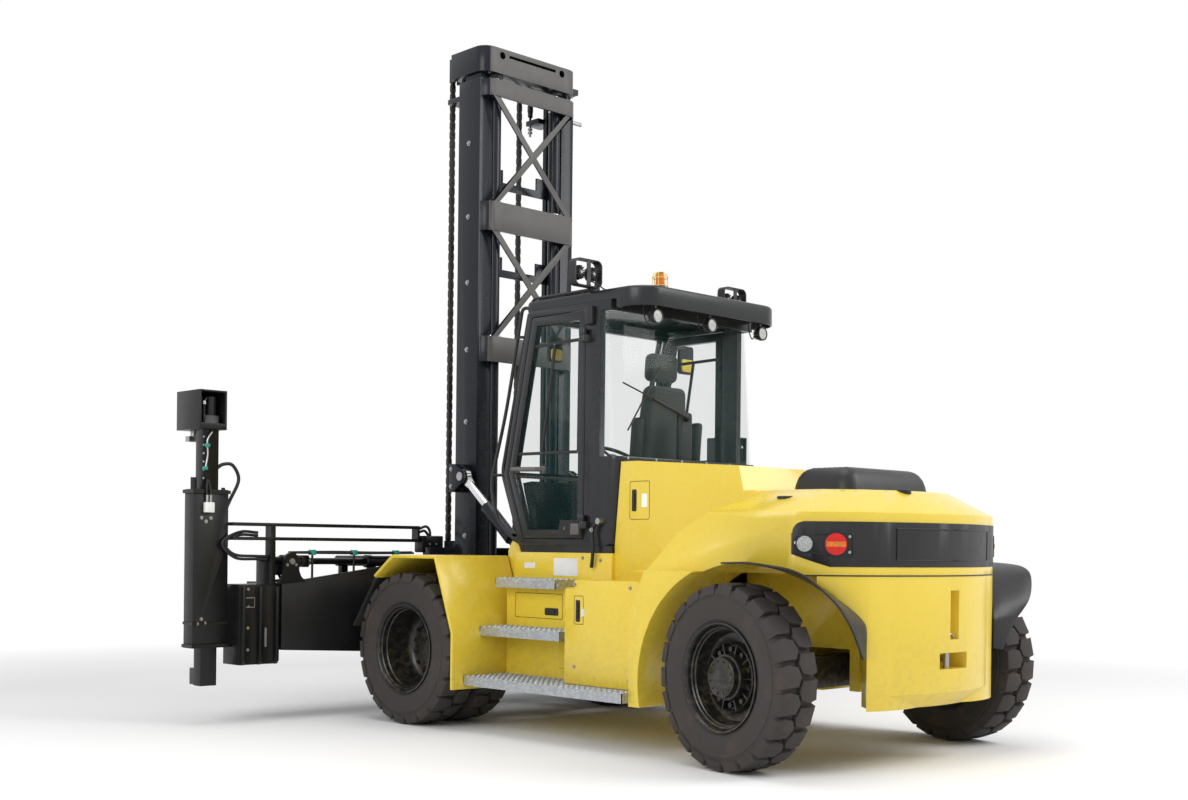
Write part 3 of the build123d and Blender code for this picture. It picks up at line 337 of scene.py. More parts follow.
finishes = {
    "yellow_paint": glossPaint("yellowPaint", (0.80, 0.597, 0.052), (0.77, 0.565, 0.046), 0.27, 0.35,
                               0.35),
    "yellow_cast": glossPaint("yellowCasting", (0.79, 0.587, 0.051), (0.75, 0.545, 0.043), 0.33, 0.25,
                              0.3, 0.0012),
    "galvanised_steel": galvanised("galvanisedSteel"),
    "bare_steel": polishedSteel("wornSteel", (0.42, 0.42, 0.43), 0.38),
    "black_plastic": grainedPlastic("blackMoulding", (0.013, 0.013, 0.0145), 0.42),
    "black_rubber": rubber("flapRubber", (0.018, 0.018, 0.019), (0.03, 0.026, 0.022), 0.62),
    "lamp_lens": lens("redLens", (0.72, 0.008, 0.004), 0.12, 95, 0.30),
    "amber_lens": lens("amberLens", (0.80, 0.22, 0.012), 0.12, 60, 0.25),
    "axle_paint": glossPaint("axleBlack", (0.016, 0.015, 0.015), (0.011, 0.010, 0.010), 0.42, 0.0, 0.5,
                             shine=0.35),
    "cab_grey": glossPaint("cabGrey", (0.018, 0.0195, 0.0215), (0.014, 0.015, 0.017), 0.28, 0.1,
                           shine=0.3),
    "tinted_glass": tintedGlass("tintedGlass", (0.012, 0.085, 0.075), 0.07),
    "seat_fabric": wovenCloth("seatCloth", (0.052, 0.056, 0.056), 260),
    "black_paint": glossPaint("railBlack", (0.011, 0.011, 0.012), (0.008, 0.008, 0.008), 0.34, 0.1,
                              shine=0.35),
    "tyre_rubber": rubber("tyreRubber", (0.040, 0.035, 0.033), (0.066, 0.049, 0.040), 0.76),
    "rim_paint": glossPaint("rimBlack", (0.011, 0.0105, 0.011), (0.008, 0.0075, 0.008), 0.30, 0.1, 0.35,
                            shine=0.35),
    "mast_paint": glossPaint("mastBlack", (0.009, 0.0110, 0.0170), (0.007, 0.0085, 0.0130), 0.26, 0.05,
                             shine=0.24),
    "chrome_rod": polishedSteel("chromeRod", (0.78, 0.78, 0.79), 0.14),
    "chain_steel": polishedSteel("oiledChain", (0.055, 0.05, 0.048), 0.42, 0.8, (60, 60, 60)),
    "spreader_paint": glossPaint("spreaderBlack", (0.0065, 0.007, 0.0072), (0.005, 0.0053, 0.0055), 0.36,
                                 0.05, shine=0.32),
    "battery_case": grainedPlastic("batteryCase", (0.12, 0.12, 0.13), 0.5),
    # finishes that the record has no slot for
    "clear_lens": lens("clearLens", (0.72, 0.73, 0.74), 0.10, 110),
    "blank_plate": grainedPlastic("blankPlate", (0.72, 0.72, 0.70), 0.45, 300, 0.0002),
    "hose_rubber": rubber("hoseRubber", (0.014, 0.014, 0.015), (0.022, 0.020, 0.019), 0.5),
    "grey_plastic": grainedPlastic("greyMoulding", (0.11, 0.105, 0.105), 0.45),
    "clip_green": grainedPlastic("greenClip", (0.02, 0.28, 0.22), 0.45),
    # lighter grey for the mast's rear faces: painted sheen, not a real finish of the black paint
    "mast_painted_sheen": glossPaint("mastPaintedSheen", (0.080, 0.077, 0.072), (0.064, 0.062, 0.058), 0.50, 0.0),
    "mirror_face": polishedSteel("mirrorFace", (0.75, 0.78, 0.8), 0.05),
}
# the slot that each of those goes with
slotOf = {entry["node"]: entry["material_slot"] for entry in frame["record"]["subparts"]}
print("materials ready:", len(finishes))


# Pieces


def pick(settings, *keys):
    return [settings[key] for key in keys]


def newMeshes(count):
    return [bmesh.new() for number in range(count)]


def outward(*meshes):
    for bm in meshes:
        bmesh.ops.recalc_face_normals(bm, faces=bm.faces)


def newPiece(name, bm, body, slot, sharp=32, replaced=()):
    mesh = bpy.data.meshes.new(name)
    bm.to_mesh(mesh)
    bm.free()
    mesh.materials.append(finishes[slot])
    mesh.shade_smooth()
    mesh.set_sharp_from_angle(angle=radians(sharp))
    piece = bpy.data.objects.new(name, mesh)
    scene.collection.objects.link(piece)
    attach(piece, body)
    if replaced:
        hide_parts(*replaced)
    return piece


bodyOf = {node: body for body,
          members in frame["record"]["behaviour"]["bodies"].items() for node in members}

# bevel width in metres for the sheet edges of each node
edgeBreaks = {
    "chassis_frame": 0.004, "front_fenders": 0.006, "side_boxes": 0.006, "counterweight": 0.014,
    "rear_body": 0.016, "lamp_band": 0.002, "drive_axle": 0.006,
    "steer_axle": 0.006, "cab_frame": 0.006, "cab_roof": 0.006, "outer_mast": 0.004, "inner_mast": 0.004,
    "carriage": 0.005, "spreader_frame": 0.004, "arm_left": 0.003, "arm_right": 0.003, "leg_left": 0.003,
    "leg_right": 0.003, "door_left": 0.004, "door_right": 0.004,
}


weld = 1e-5      # points closer than this are one
flatAngle = 0.6  # degrees between faces that count as one
# upright corners of the cab's rear posts, which are rounded more
postCorners = {"half": 0.7495, "front": -1.55, "top": 1.96, "rise": 0.01, "radius": 0.085, "steps": 7}


def bevelEdges(bm, edges, width, segments=2, clamp=True):
    bmesh.ops.bevel(bm, geom=edges, affect="EDGES", offset=width, segments=segments, profile=0.5,
                    material=-1,
                    clamp_overlap=clamp)


def sharpEdges(bm, sharp=30):
    return [e for e in bm.edges if e.is_manifold and e.calc_face_angle() > radians(sharp)]


def isPostCorner(edge, shape):
    half, front, top = pick(shape, "half", "front", "top")
    ends = [vert.co for vert in edge.verts]
    onPost = all(abs(end.y) > half and end.x < front and end.z < top for end in ends)
    return onPost and abs(ends[0].z - ends[1].z) > shape["rise"]


def finishedCopy(node, bevel):
    bm = bmesh.new()
    bm.from_mesh(nodes[node].data)
    bmesh.ops.remove_doubles(bm, verts=bm.verts, dist=weld)
    bmesh.ops.dissolve_limit(bm, angle_limit=radians(flatAngle), verts=bm.verts, edges=bm.edges)
    if node == "cab_frame":
        posts = [e for e in bm.edges if isPostCorner(e, postCorners)]
        bevelEdges(bm, posts, postCorners["radius"], postCorners["steps"])
    bevelEdges(bm, sharpEdges(bm), bevel)
    newPiece(node + "_finished", bm, bodyOf[node], slotOf[node], replaced=(node,))


for node, width in edgeBreaks.items():
    finishedCopy(node, width)
for node, part in nodes.items():
    part.data.materials.clear()
    part.data.materials.append(finishes[slotOf[node]])
print("edges broken on", len(edgeBreaks), "nodes")


# Shapes that the pieces share


def addBox(bm, low, high):
    low, high = Vector(low), Vector(high)
    size = Matrix.Diagonal((*(high - low), 1))
    return bmesh.ops.create_cube(bm, size=1, matrix=Matrix.Translation((low + high) / 2) @ size)["verts"]


def addRod(bm, start, end, radius, sides=20, endRadius=None):
    start, end = Vector(start), Vector(end)
    turn = (end - start).to_track_quat("Z", "Y").to_matrix().to_4x4()
    return bmesh.ops.create_cone(
        bm, cap_ends=True, segments=sides, radius1=radius,
        radius2=radius if endRadius is None else endRadius,
        depth=(end - start).length, matrix=Matrix.Translation((start + end) / 2) @ turn)["verts"]


thinnest = 0.0004  # radius that stands for a point on the axis


def circle(count, shift=0):
    return [2 * pi * (step + shift) / count for step in range(count)]


def axisTurn(axis):
    # turns +Z to the axis
    return Vector(axis).to_track_quat("Z", "Y").to_matrix()


def joinRings(bm, rings, closed=False):
    # faces from each ring to the next, and from the last to the first if closed
    for ring, following in zip(rings, rings[1:] + rings[:1] if closed else rings[1:]):
        for step in range(len(ring)):
            after = (step + 1) % len(ring)
            bm.faces.new((ring[step], ring[after], following[after], following[step]))


def addTurned(bm, profile, place, axis, sides):
    # profile: pairs of the distance along the axis and the radius, a closed loop
    turn, rings = axisTurn(axis), []
    for along, radius in profile:
        radius = max(radius, thinnest)
        rings.append([bm.verts.new(Vector(place) + turn @ Vector((radius * cos(a), radius * sin(a),
                along)))
                      for a in circle(sides)])
    joinRings(bm, rings, True)


def addPrism(bm, outline, axis, low, high):
    # outline: pairs in the plane square to the axis (x: y and z, y: x and z)
    ends = [[bm.verts.new((level, a, b) if axis == "x" else (a, level, b)) for a, b in outline]
            for level in (low, high)]
    bm.faces.new(ends[0])
    bm.faces.new(ends[1])
    joinRings(bm, ends)


def roundedLoop(wide, high, radius, steps=6):
    loop = []
    for quarter, (sx, sy) in enumerate(((1, 1), (-1, 1), (-1, -1), (1, -1))):
        for step in range(steps + 1):
            angle = pi / 2 * (quarter + step / steps)
            loop.append((sx * (wide / 2 - radius) + radius * cos(angle),
                         sy * (high / 2 - radius) + radius * sin(angle)))
    return loop


def smoothPath(points, steps=8):
    points = [Vector(p) for p in points]
    ends = [2 * points[0] - points[1]] + points + [2 * points[-1] - points[-2]]
    path = []
    for a, b, c, d in zip(ends, ends[1:], ends[2:], ends[3:]):
        for step in range(steps):
            t = step / steps
            path.append(0.5 * (2 * b + (c - a) * t + (2 * a - 5 * b + 4 * c - d) * t * t
                               + (3 * b - a - 3 * c + d) * t ** 3))
    return path + [points[-1]]


def addPipe(bm, points, radius, sides=10, steps=8, closed=False):
    path = smoothPath(points, steps) if steps else [Vector(p) for p in points]
    rings = []
    side = None
    for number, spot in enumerate(path):
        ahead = path[min(number + 1, len(path) - 1)] - path[max(number - 1, 0)]
        if closed:
            ahead = path[(number + 1) % len(path)] - path[number - 1]
        ahead.normalize()
        if side is None:
            side = ahead.orthogonal()
        side = (side - ahead * side.dot(ahead)).normalized()
        up = ahead.cross(side)
        rings.append([bm.verts.new(spot + radius * (side * cos(a) + up * sin(a))) for a in circle(sides)])
    joinRings(bm, rings, closed)
    if not closed:
        bm.faces.new(rings[0])
        bm.faces.new(rings[-1])


def addBolt(bm, place, axis, radius, height):
    start = Vector(place)
    axis = Vector(axis).normalized()
    addRod(bm, start, start + axis * height * 0.25, radius * 1.5, 14)
    addRod(bm, start, start + axis * height, radius, 6)


def bevelSharp(bm, width, segments=2, sharp=30):
    outward(bm)
    bevelEdges(bm, sharpEdges(bm, sharp), width, segments)


def mirrored(bm):
    copied = bmesh.ops.duplicate(bm, geom=bm.verts[:] + bm.edges[:] + bm.faces[:])["geom"]
    for vert in (part for part in copied if isinstance(part, bmesh.types.BMVert)):
        vert.co.y = -vert.co.y
    bmesh.ops.reverse_faces(bm, faces=[part for part in copied if isinstance(part, bmesh.types.BMFace)])


# Tyres

tyreShape = {
    "radius": 0.560, "halfWidth": 0.145, "lugs": 22, "lugFoot": 0.519,
    "shoulderIn": 0.010, "shoulderFoot": 0.494, "shoulderLean": 0.985, "crown": 0.007, "footSpread": 1.09,
    "wallGap": 0.0005, "lugBevel": 0.0045,
    # distance from the middle plane, radius: from the bead up to the tread's middle
    "wall": ((0.116, 0.321), (0.127, 0.330), (0.131, 0.345), (0.1335, 0.347), (0.1365, 0.362),
             (0.1405, 0.385),
             (0.1445, 0.418), (0.1450, 0.440), (0.1442, 0.458), (0.1452, 0.461), (0.1450, 0.470),
             (0.1405, 0.474),
             (0.1385, 0.500), (0.1310, 0.519), (0.1180, 0.527), (0.0600, 0.5285)),
    # a lug's outline: share of the pitch round the tyre, share of the way from the middle to the shoulder
    "lug": ((-0.42, 1.0), (0.36, 1.0), (0.45, 0.60), (0.36, 0.12), (0.02, -0.05), (-0.36, 0.13),
            (-0.34, 0.60)),
}


def addTyre(bm, shape, place, axis):
    wall = list(shape["wall"])
    addTurned(bm, wall + [(-along, radius) for along, radius in reversed(wall)], place, axis, 88)
    turn, halfWidth = axisTurn(axis), shape["halfWidth"]
    pitch = 2 * pi / shape["lugs"]

    def corner(radius, angle, out):
        return bm.verts.new(Vector(place) + turn @ Vector((radius * cos(angle), radius * sin(angle),
                out)))

    for side in (1, -1):
        for lug in range(shape["lugs"]):
            middle = (lug + 0.5 * (side > 0)) * pitch - pi / 2 + 0.25 * pitch
            top, foot = [], []
            for along, across in shape["lug"]:
                out = side * (halfWidth - shape["shoulderIn"]) * across
                topRadius = shape["radius"] - shape["crown"] * max(across, 0) ** 2
                topAngle = middle + side * along * pitch
                footAngle = middle + side * along * shape["footSpread"] * pitch
                if across > 0.9:
                    top.append(corner(topRadius, topAngle, out * shape["shoulderLean"]))
                    foot.append(corner(shape["shoulderFoot"], footAngle,
                                       side * (halfWidth - shape["wallGap"])))
                else:
                    top.append(corner(topRadius, topAngle, out))
                    foot.append(corner(shape["lugFoot"], footAngle, out))
            edges = list(bm.faces.new(top).edges)
            joinRings(bm, [foot, top])
            edges += [e for k in (0, 1) for e in top[k].link_edges if e.other_vert(top[k]) is foot[k]]
            bevelEdges(bm, edges, shape["lugBevel"])


wheelPlaces = {"axleHeight": 0.560, "rearX": -3.095, "kingpin": 1.0, "restSteer": -8.2,
               "frontFace": 1.336,
               "twinStep": 0.350, "rearFace": 1.309}


def wheelPlace(face, side, steered):
    # middle of a wheel and its outward axle direction
    place = Vector((wheelPlaces["rearX"] if steered else 0, side * face, wheelPlaces["axleHeight"]))
    axis = Vector((0, side, 0))
    if steered:
        pin = Vector((wheelPlaces["rearX"], side * wheelPlaces["kingpin"], 0))
        turn = Matrix.Rotation(radians(wheelPlaces["restSteer"]), 3, "Z")
        place = pin + turn @ (place - pin)
        axis = turn @ axis
    return place, axis


# Rims

rimShapes = {
    # distance inward from the tyre's outer face, radius: the side that shows, from the lip to the
    # hub's middle
    "front": {"face": ((0.014, 0.3205), (0.007, 0.329), (0.004, 0.326), (0.006, 0.316), (0.016, 0.306),
                       (0.034, 0.303),
                       (0.040, 0.295), (0.072, 0.291), (0.078, 0.283), (0.240, 0.279), (0.278, 0.262),
                       (0.296, 0.236),
                       (0.301, 0.196), (0.286, 0.160), (0.262, 0.152), (0.240, 0.149), (0.232, 0.140),
                       (0.228, 0.1395),
                       (0.228, 0.0)),
              "back": ((0.330, 0.0), (0.330, 0.306), (0.630, 0.306), (0.630, 0.3195)),
              "bolts": (16, 0.216, 0.300, 0.015, 0.022), "capBolts": (12, 0.118, 0.228, 0.006, 0.008)},
    "rear": {"face": ((0.014, 0.3205), (0.007, 0.328), (0.004, 0.325), (0.006, 0.315), (0.018, 0.305),
                      (0.046, 0.301),
                      (0.052, 0.293), (0.066, 0.291), (0.072, 0.283), (0.118, 0.276), (0.142, 0.262),
                      (0.148, 0.236),
                      (0.140, 0.214), (0.120, 0.207), (0.096, 0.206), (0.090, 0.200), (0.096, 0.196),
                      (0.128, 0.190),
                      (0.130, 0.146), (0.096, 0.140), (0.062, 0.136), (0.058, 0.124), (0.026, 0.119),
                      (0.022, 0.113),
                      (0.022, 0.0)),
             "back": ((0.230, 0.0), (0.230, 0.300), (0.284, 0.306), (0.284, 0.3195)),
             "bolts": (10, 0.167, 0.130, 0.0165, 0.032), "capBolts": (12, 0.098, 0.022, 0.005, 0.006)},
}


# webs between the rear wheel's nuts
webShape = {"count": 10, "inner": 0.140, "outer": 0.205, "depth": 0.128, "height": 0.036, "half": 0.005}


def addRim(bm, shape, place, axis):
    addTurned(bm, [(-inward, radius) for inward, radius in shape["face"] + shape["back"]], place, axis,
              80)
    turn = axisTurn(axis)
    for count, around, depth, radius, height in (shape["bolts"], shape["capBolts"]):
        for angle in circle(count, 0.5):
            spot = Vector(place) + turn @ Vector((around * cos(angle), around * sin(angle), -depth))
            addBolt(bm, spot, axis, radius, height)


def addWebs(bm, shape, place, axis):
    inner, outer, depth, height, half = pick(shape, "inner", "outer", "depth", "height", "half")
    for angle in circle(shape["count"]):
        verts = addBox(bm, (inner, -half, -depth), (outer, half, height - depth))
        move = Matrix.Translation(place) @ (axisTurn(axis) @ Matrix.Rotation(angle, 3, "Z")).to_4x4()
        bmesh.ops.transform(bm, matrix=move, verts=verts)


def addWheel(side, name, end, tyres, faces):
    steered = end == "rear"
    body, ending = end + "_wheel_" + name, end.title() + "_" + name
    bm = bmesh.new()
    for face in faces:
        addTyre(bm, tyreShape, *wheelPlace(face - tyreShape["halfWidth"], side, steered))
    newPiece(tyres + ending, bm, body, "tyre_rubber", 40, (tyres + "_" + end + "_" + name,))
    bm = bmesh.new()
    addRim(bm, rimShapes[end], *wheelPlace(faces[0], side, steered))
    if steered:
        addWebs(bm, webShape, *wheelPlace(faces[0], side, steered))
    outward(bm)
    newPiece("rim" + ending, bm, body, "rim_paint", 38, ("rim_" + end + "_" + name,))


frontFace, rearFace, twinStep = pick(wheelPlaces, "frontFace", "rearFace", "twinStep")
for name, side in (("left", 1), ("right", -1)):
    addWheel(side, name, "front", "tyres", (frontFace, frontFace - twinStep))
    addWheel(side, name, "rear", "tyre", (rearFace,))
print("wheels ready")


# Lift chains: leaf links on both strands and round the sheave

chainShape = {"y": 0.360, "front": 0.700, "sheaveX": 0.630, "sheaveZ": 5.180, "radius": 0.070,
              "pitch": 0.0381,
              "plate": 0.0045, "high": 0.028, "foot": 1.362, "rearEnd": 4.932,
              "lift": 3.5, "bends": 6, "pinHalf": 0.021, "pinRadius": 0.0062}


def addLink(bm, start, end, across, rows, shape):
    # plates of one link, side by side along Y
    start, end = Vector(start), Vector(end)
    run = (end - start).normalized()
    up = Vector((0, 1, 0)).cross(run)
    half = shape["high"] / 2
    for row in rows:
        loop = []
        for centre, first in ((end, -90), (start, 90)):
            for step in range(7):
                angle = radians(first + 30 * step)
                loop.append(centre + half * (run * cos(angle) + up * sin(angle)))
        low = across + row * shape["plate"]
        ends = [[bm.verts.new((p.x, p.y + low + shift, p.z)) for p in loop]
                for shift in (-0.4 * shape["plate"], 0.4 * shape["plate"])]
        bm.faces.new(ends[0])
        bm.faces.new(ends[1])
        joinRings(bm, ends)


def addStrand(bm, points, across, shape):
    for number, (start, end) in enumerate(zip(points, points[1:])):
        rows = (-3, -1, 1, 3) if number % 2 else (-4, -2, 0, 2, 4)
        addLink(bm, start, end, across, rows, shape)
    for spot in points:
        ends = [spot + Vector((0, across + end * shape["pinHalf"], 0)) for end in (-1, 1)]
        addRod(bm, *ends, shape["pinRadius"], 8)


def evenPoints(start, end, pitch):
    start, end = Vector(start), Vector(end)
    count = max(1, round((end - start).length / pitch))
    return [start.lerp(end, k / count) for k in range(count + 1)]


def addChain(shape, name, side):
    front, x, z, radius, pitch, bends = pick(shape, "front", "sheaveX", "sheaveZ", "radius", "pitch",
            "bends")
    across = side * shape["y"]
    top = Vector((front, 0, z))
    bm = bmesh.new()
    addStrand(bm, evenPoints((front, 0, shape["foot"] + 0.010), top, pitch), across, shape)
    outward(bm)
    strand = newPiece("chainFront_" + name, bm, "inner_mast", "chain_steel")
    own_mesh(strand)
    bm = bmesh.new()
    bend = [Vector((x + radius * cos(pi * k / bends), 0,
                    z + radius * sin(pi * k / bends))) for k in range(bends + 1)]
    rear = evenPoints(bend[-1], (bend[-1].x, 0, shape["rearEnd"] + 0.012), pitch)
    addStrand(bm, bend + rear[1:], across, shape)
    outward(bm)
    newPiece("chainRear_" + name, bm, "inner_mast", "chain_steel", replaced=("lift_chains",))


addChain(chainShape, "left", 1)
addChain(chainShape, "right", -1)
print("chains ready")


# Yellow body: seams, latches, plates, lamps, vent


def addFrameLine(bm, outline, y, radius):
    # a thin line round an outline on a side
    for (xa, za), (xb, zb) in zip(outline, outline[1:] + outline[:1]):
        addRod(bm, (xa, y, za), (xb, y, zb), radius, 6)


def roundedAt(middle, size, radius, steps=5):
    return [(middle[0] + a, middle[1] + b) for a, b in roundedLoop(size[0], size[1], radius, steps)]


sideDetails = {
    # outlines of doors on a side: middle x, middle z, wide, high, corner radius, y
    "doors": ((-1.826, 1.642, 0.184, 0.258, 0.012, 0.720), (-1.640, 0.900, 0.088, 0.188, 0.010, 1.100),
              (-0.960, 0.900, 0.500, 0.176, 0.008, 0.850)),
    # black latch slots: middle x, middle z, wide, high, y
    "slots": ((-1.775, 1.642, 0.032, 0.137, 0.720), (-1.632, 0.894, 0.030, 0.134, 1.100),
              (-1.097, 0.862, 0.130, 0.040, 0.850)),
    # blank plates: middle x, middle z, wide, high, y
    "plates": ((-1.126, 1.178, 0.250, 0.125, 0.745), (-0.742, 1.184, 0.120, 0.040, 0.745),
               (-1.872, 1.640, 0.052, 0.090, 0.720), (-1.680, 0.885, 0.030, 0.050, 1.100)),
    # bolts: x, z, y
    "bolts": ((-1.440, 1.060, 1.100), (-1.600, 0.520, 1.100), (-1.600, 1.070, 1.100),
              (-1.480, 1.230, 0.745),
              (-1.300, 1.245, 0.745), (-2.120, 1.060, 1.100), (-2.120, 0.460, 1.100),
              (-1.430, 0.540, 0.850)),
    "line": 0.0020,
}


def addSideDetails(settings):
    lines, slots, plates, bolts = newMeshes(4)
    for x, z, wide, high, radius, y in settings["doors"]:
        addFrameLine(lines, roundedAt((x, z), (wide, high), radius), y, settings["line"])
    for x, z, wide, high, y in settings["slots"]:
        addPrism(slots, roundedAt((x, z), (wide + 0.012, high + 0.012), 0.010), "y", y - 0.004,
                 y + 0.0025)
        addPrism(slots, roundedAt((x, z), (wide, high), 0.008), "y", y, y + 0.004)
        addBox(slots, (x - wide * 0.28, y, z - high * 0.36), (x + wide * 0.28, y + 0.009,
                z + high * 0.36))
    for x, z, wide, high, y in settings["plates"]:
        addPrism(plates, roundedAt((x, z), (wide, high), 0.006), "y", y - 0.002, y + 0.0016)
    for x, z, y in settings["bolts"]:
        addBolt(bolts, (x, y, z), (0, 1, 0), 0.009, 0.009)
    bevelSharp(slots, 0.0012, 1)
    for name, bm, slot in (("doorSeams", lines, "black_plastic"), ("latchSlots", slots, "black_plastic"),
                           ("blankPlates", plates, "blank_plate"), ("boxBolts", bolts, "bare_steel")):
        mirrored(bm)
        newPiece(name, bm, "truck", slot)


addSideDetails(sideDetails)

stepShape = {
    # rear end, inner edge, outer edge, top
    "treads": ((-2.200, 0.850, 1.250, 0.400), (-1.450, 0.850, 1.100, 0.750),
               (-1.250, 0.745, 0.960, 1.095)),
    "front": -0.611, "sheet": 0.005, "lip": 0.070, "cell": 0.052, "hole": 0.0165, "lift": 0.005,
}


def addPunched(bm, low, high, top, shape):
    # a square of sheet round a hole with a drawn-up rim
    middle = ((low[0] + high[0]) / 2, (low[1] + high[1]) / 2)
    half = ((high[0] - low[0]) / 2, (high[1] - low[1]) / 2)
    count = 12
    rings = []
    for radius, lift in ((None, 0), (shape["hole"] * 1.35, 0), (shape["hole"] * 1.08, shape["lift"]),
                         (shape["hole"], shape["lift"]), (shape["hole"], -0.010)):
        ring = []
        for angle in circle(count, 0.5):
            across, along = cos(angle), sin(angle)
            if radius is None:
                reach = 1 / max(abs(across), abs(along))
                across, along = across * reach * half[0], along * reach * half[1]
            else:
                across, along = across * radius, along * radius
            ring.append(bm.verts.new((middle[0] + across, middle[1] + along, top + lift)))
        rings.append(ring)
    corners = [bm.verts.new((middle[0] + sx * half[0], middle[1] + sy * half[1], top))
               for sx, sy in ((1, 1), (-1, 1), (-1, -1), (1, -1))]
    joinRings(bm, rings)
    for quarter, corner in enumerate(corners):
        at = quarter * count // 4 + 1
        bm.faces.new((corner, rings[0][at], rings[0][at - 1]))


def addSteps(shape):
    bm = bmesh.new()
    for rear, inner, outer, top in shape["treads"]:
        deck = top - shape["lift"]
        columns = round((shape["front"] - rear) / shape["cell"])
        rows = round((outer - inner) / shape["cell"])
        for column in range(columns):
            for row in range(rows):
                x = [rear + (shape["front"] - rear) * (column + k) / columns for k in (0, 1)]
                y = [inner + (outer - inner) * (row + k) / rows for k in (0, 1)]
                addPunched(bm, (x[0], y[0]), (x[1], y[1]), deck, shape)
        for low, high in (((rear, outer - shape["sheet"], top - shape["lip"]),
                           (shape["front"], outer, deck)),
                          ((rear, inner, top - 0.045), (shape["front"], inner + shape["sheet"], deck)),
                          ((rear, inner, top - shape["lip"]), (rear + shape["sheet"], outer, deck)),
                          ((shape["front"] - shape["sheet"], inner, top - 0.045),
                           (shape["front"], outer, deck))):
            addBox(bm, low, high)
    bmesh.ops.remove_doubles(bm, verts=bm.verts, dist=weld)
    outward(bm)
    mirrored(bm)
    newPiece("stepGratings", bm, "truck", "galvanised_steel", 40, replaced=("step_treads",))


addSteps(stepShape)

flapRear = 0.3405  # the fenders are rubber ahead of this
flap = bpy.data.objects["front_fenders_finished"]
flap.data.materials.append(finishes["black_rubber"])
for face in flap.data.polygons:
    if face.center.x > flapRear:
        face.material_index = 1

tailShape = {
    # corner, bend and shoulder of the left rear corner in plan, and the tail's end
    "corner": (-3.350, 1.000), "bend": (-3.610, 0.790), "shoulder": (-3.720, 0.550),
    "tail": (-3.830, 0.0),
    "lampHeight": 1.355, "seamHeight": 1.170, "bandTurn": 0.070, "bandStart": 0.004, "cornerAngle": 0.923,
    # share of the corner's arc, lens radius, finish
    "lamps": ((0.13, 0.048, "clear_lens"), (0.43, 0.066, "lamp_lens")),
    # edge and screws of the panel round the lamps: share of the arc, height above the lamps' middle
    "panel": ((0.02, 0.014), (0.05, 0.046), (0.30, 0.060), (0.585, 0.066), (0.60, 0.055), (0.60, -0.058),
              (0.585, -0.068), (0.30, -0.064), (0.05, -0.030), (0.02, 0.0)),
    "panelScrews": ((0.035, 0.006), (0.565, 0.045), (0.565, -0.047)),
    "field": (1.262, 1.450),  # foot and top of the plain field in the band
}


def arcThrough(a, b, c):
    # centre and radius of the circle through three points of a plan
    d = 2 * (a[0] * (b[1] - c[1]) + b[0] * (c[1] - a[1]) + c[0] * (a[1] - b[1]))
    x = sum(p[0] ** 2 * (q[1] - r[1]) + p[1] ** 2 * (q[1] - r[1]) for p, q,
            r in ((a, b, c), (b, c, a), (c, a, b))) / d
    y = sum(p[0] ** 2 * (r[0] - q[0]) + p[1] ** 2 * (r[0] - q[0]) for p, q,
            r in ((a, b, c), (b, c, a), (c, a, b))) / d
    return (x, y), math.dist((x, y), a)


def tailSpot(shape, share):
    # place on the rear corner's arc and the outward direction there
    centre, radius = arcThrough(shape["corner"], shape["bend"], shape["shoulder"])
    angles = [math.atan2(shape[end][1] - centre[1], shape[end][0] - centre[0]) for end in ("corner",
            "shoulder")]
    angle = angles[0] + (angles[1] - angles[0]) * share
    out = Vector((cos(angle), sin(angle), 0))
    return Vector((*centre, 0)) + out * radius, out


def tailX(shape, y):
    # the tail's arc between its two shoulders
    x, side = shape["shoulder"]
    centre, radius = arcThrough((x, side), shape["tail"], (x, -side))
    return centre[0] - math.sqrt(radius ** 2 - (y - centre[1]) ** 2)


def addBandCorners(shape):
    # rounded upper ends of the band: the yellow between its corner and a quarter circle
    top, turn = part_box("lamp_band")[1][2], shape["bandTurn"]
    cornerRadius = arcThrough(shape["corner"], shape["bend"], shape["shoulder"])[1]
    span = cornerRadius * shape["cornerAngle"]
    start = shape["bandStart"]
    border = [(start - 0.006, top + 0.005), (start - 0.006, top - turn)]
    border += [(start + turn - turn * cos(a),
                top - turn + turn * sin(a)) for a in (k * pi / 16 for k in range(9))]
    border.append((start + turn, top + 0.005))
    filler = bmesh.new()
    layers = []
    for lift in (-0.004, 0.0058):
        layer = []
        for along, z in border:
            place, out = tailSpot(shape, along / span)
            layer.append(filler.verts.new(place + out * lift + Vector((0, 0, z))))
        layers.append(layer)
        for number in range(1, len(layer) - 1):
            filler.faces.new((layer[0], layer[number], layer[number + 1]))
    joinRings(filler, layers)
    outward(filler)
    mirrored(filler)
    newPiece("bandCorners", filler, "truck", "yellow_paint")


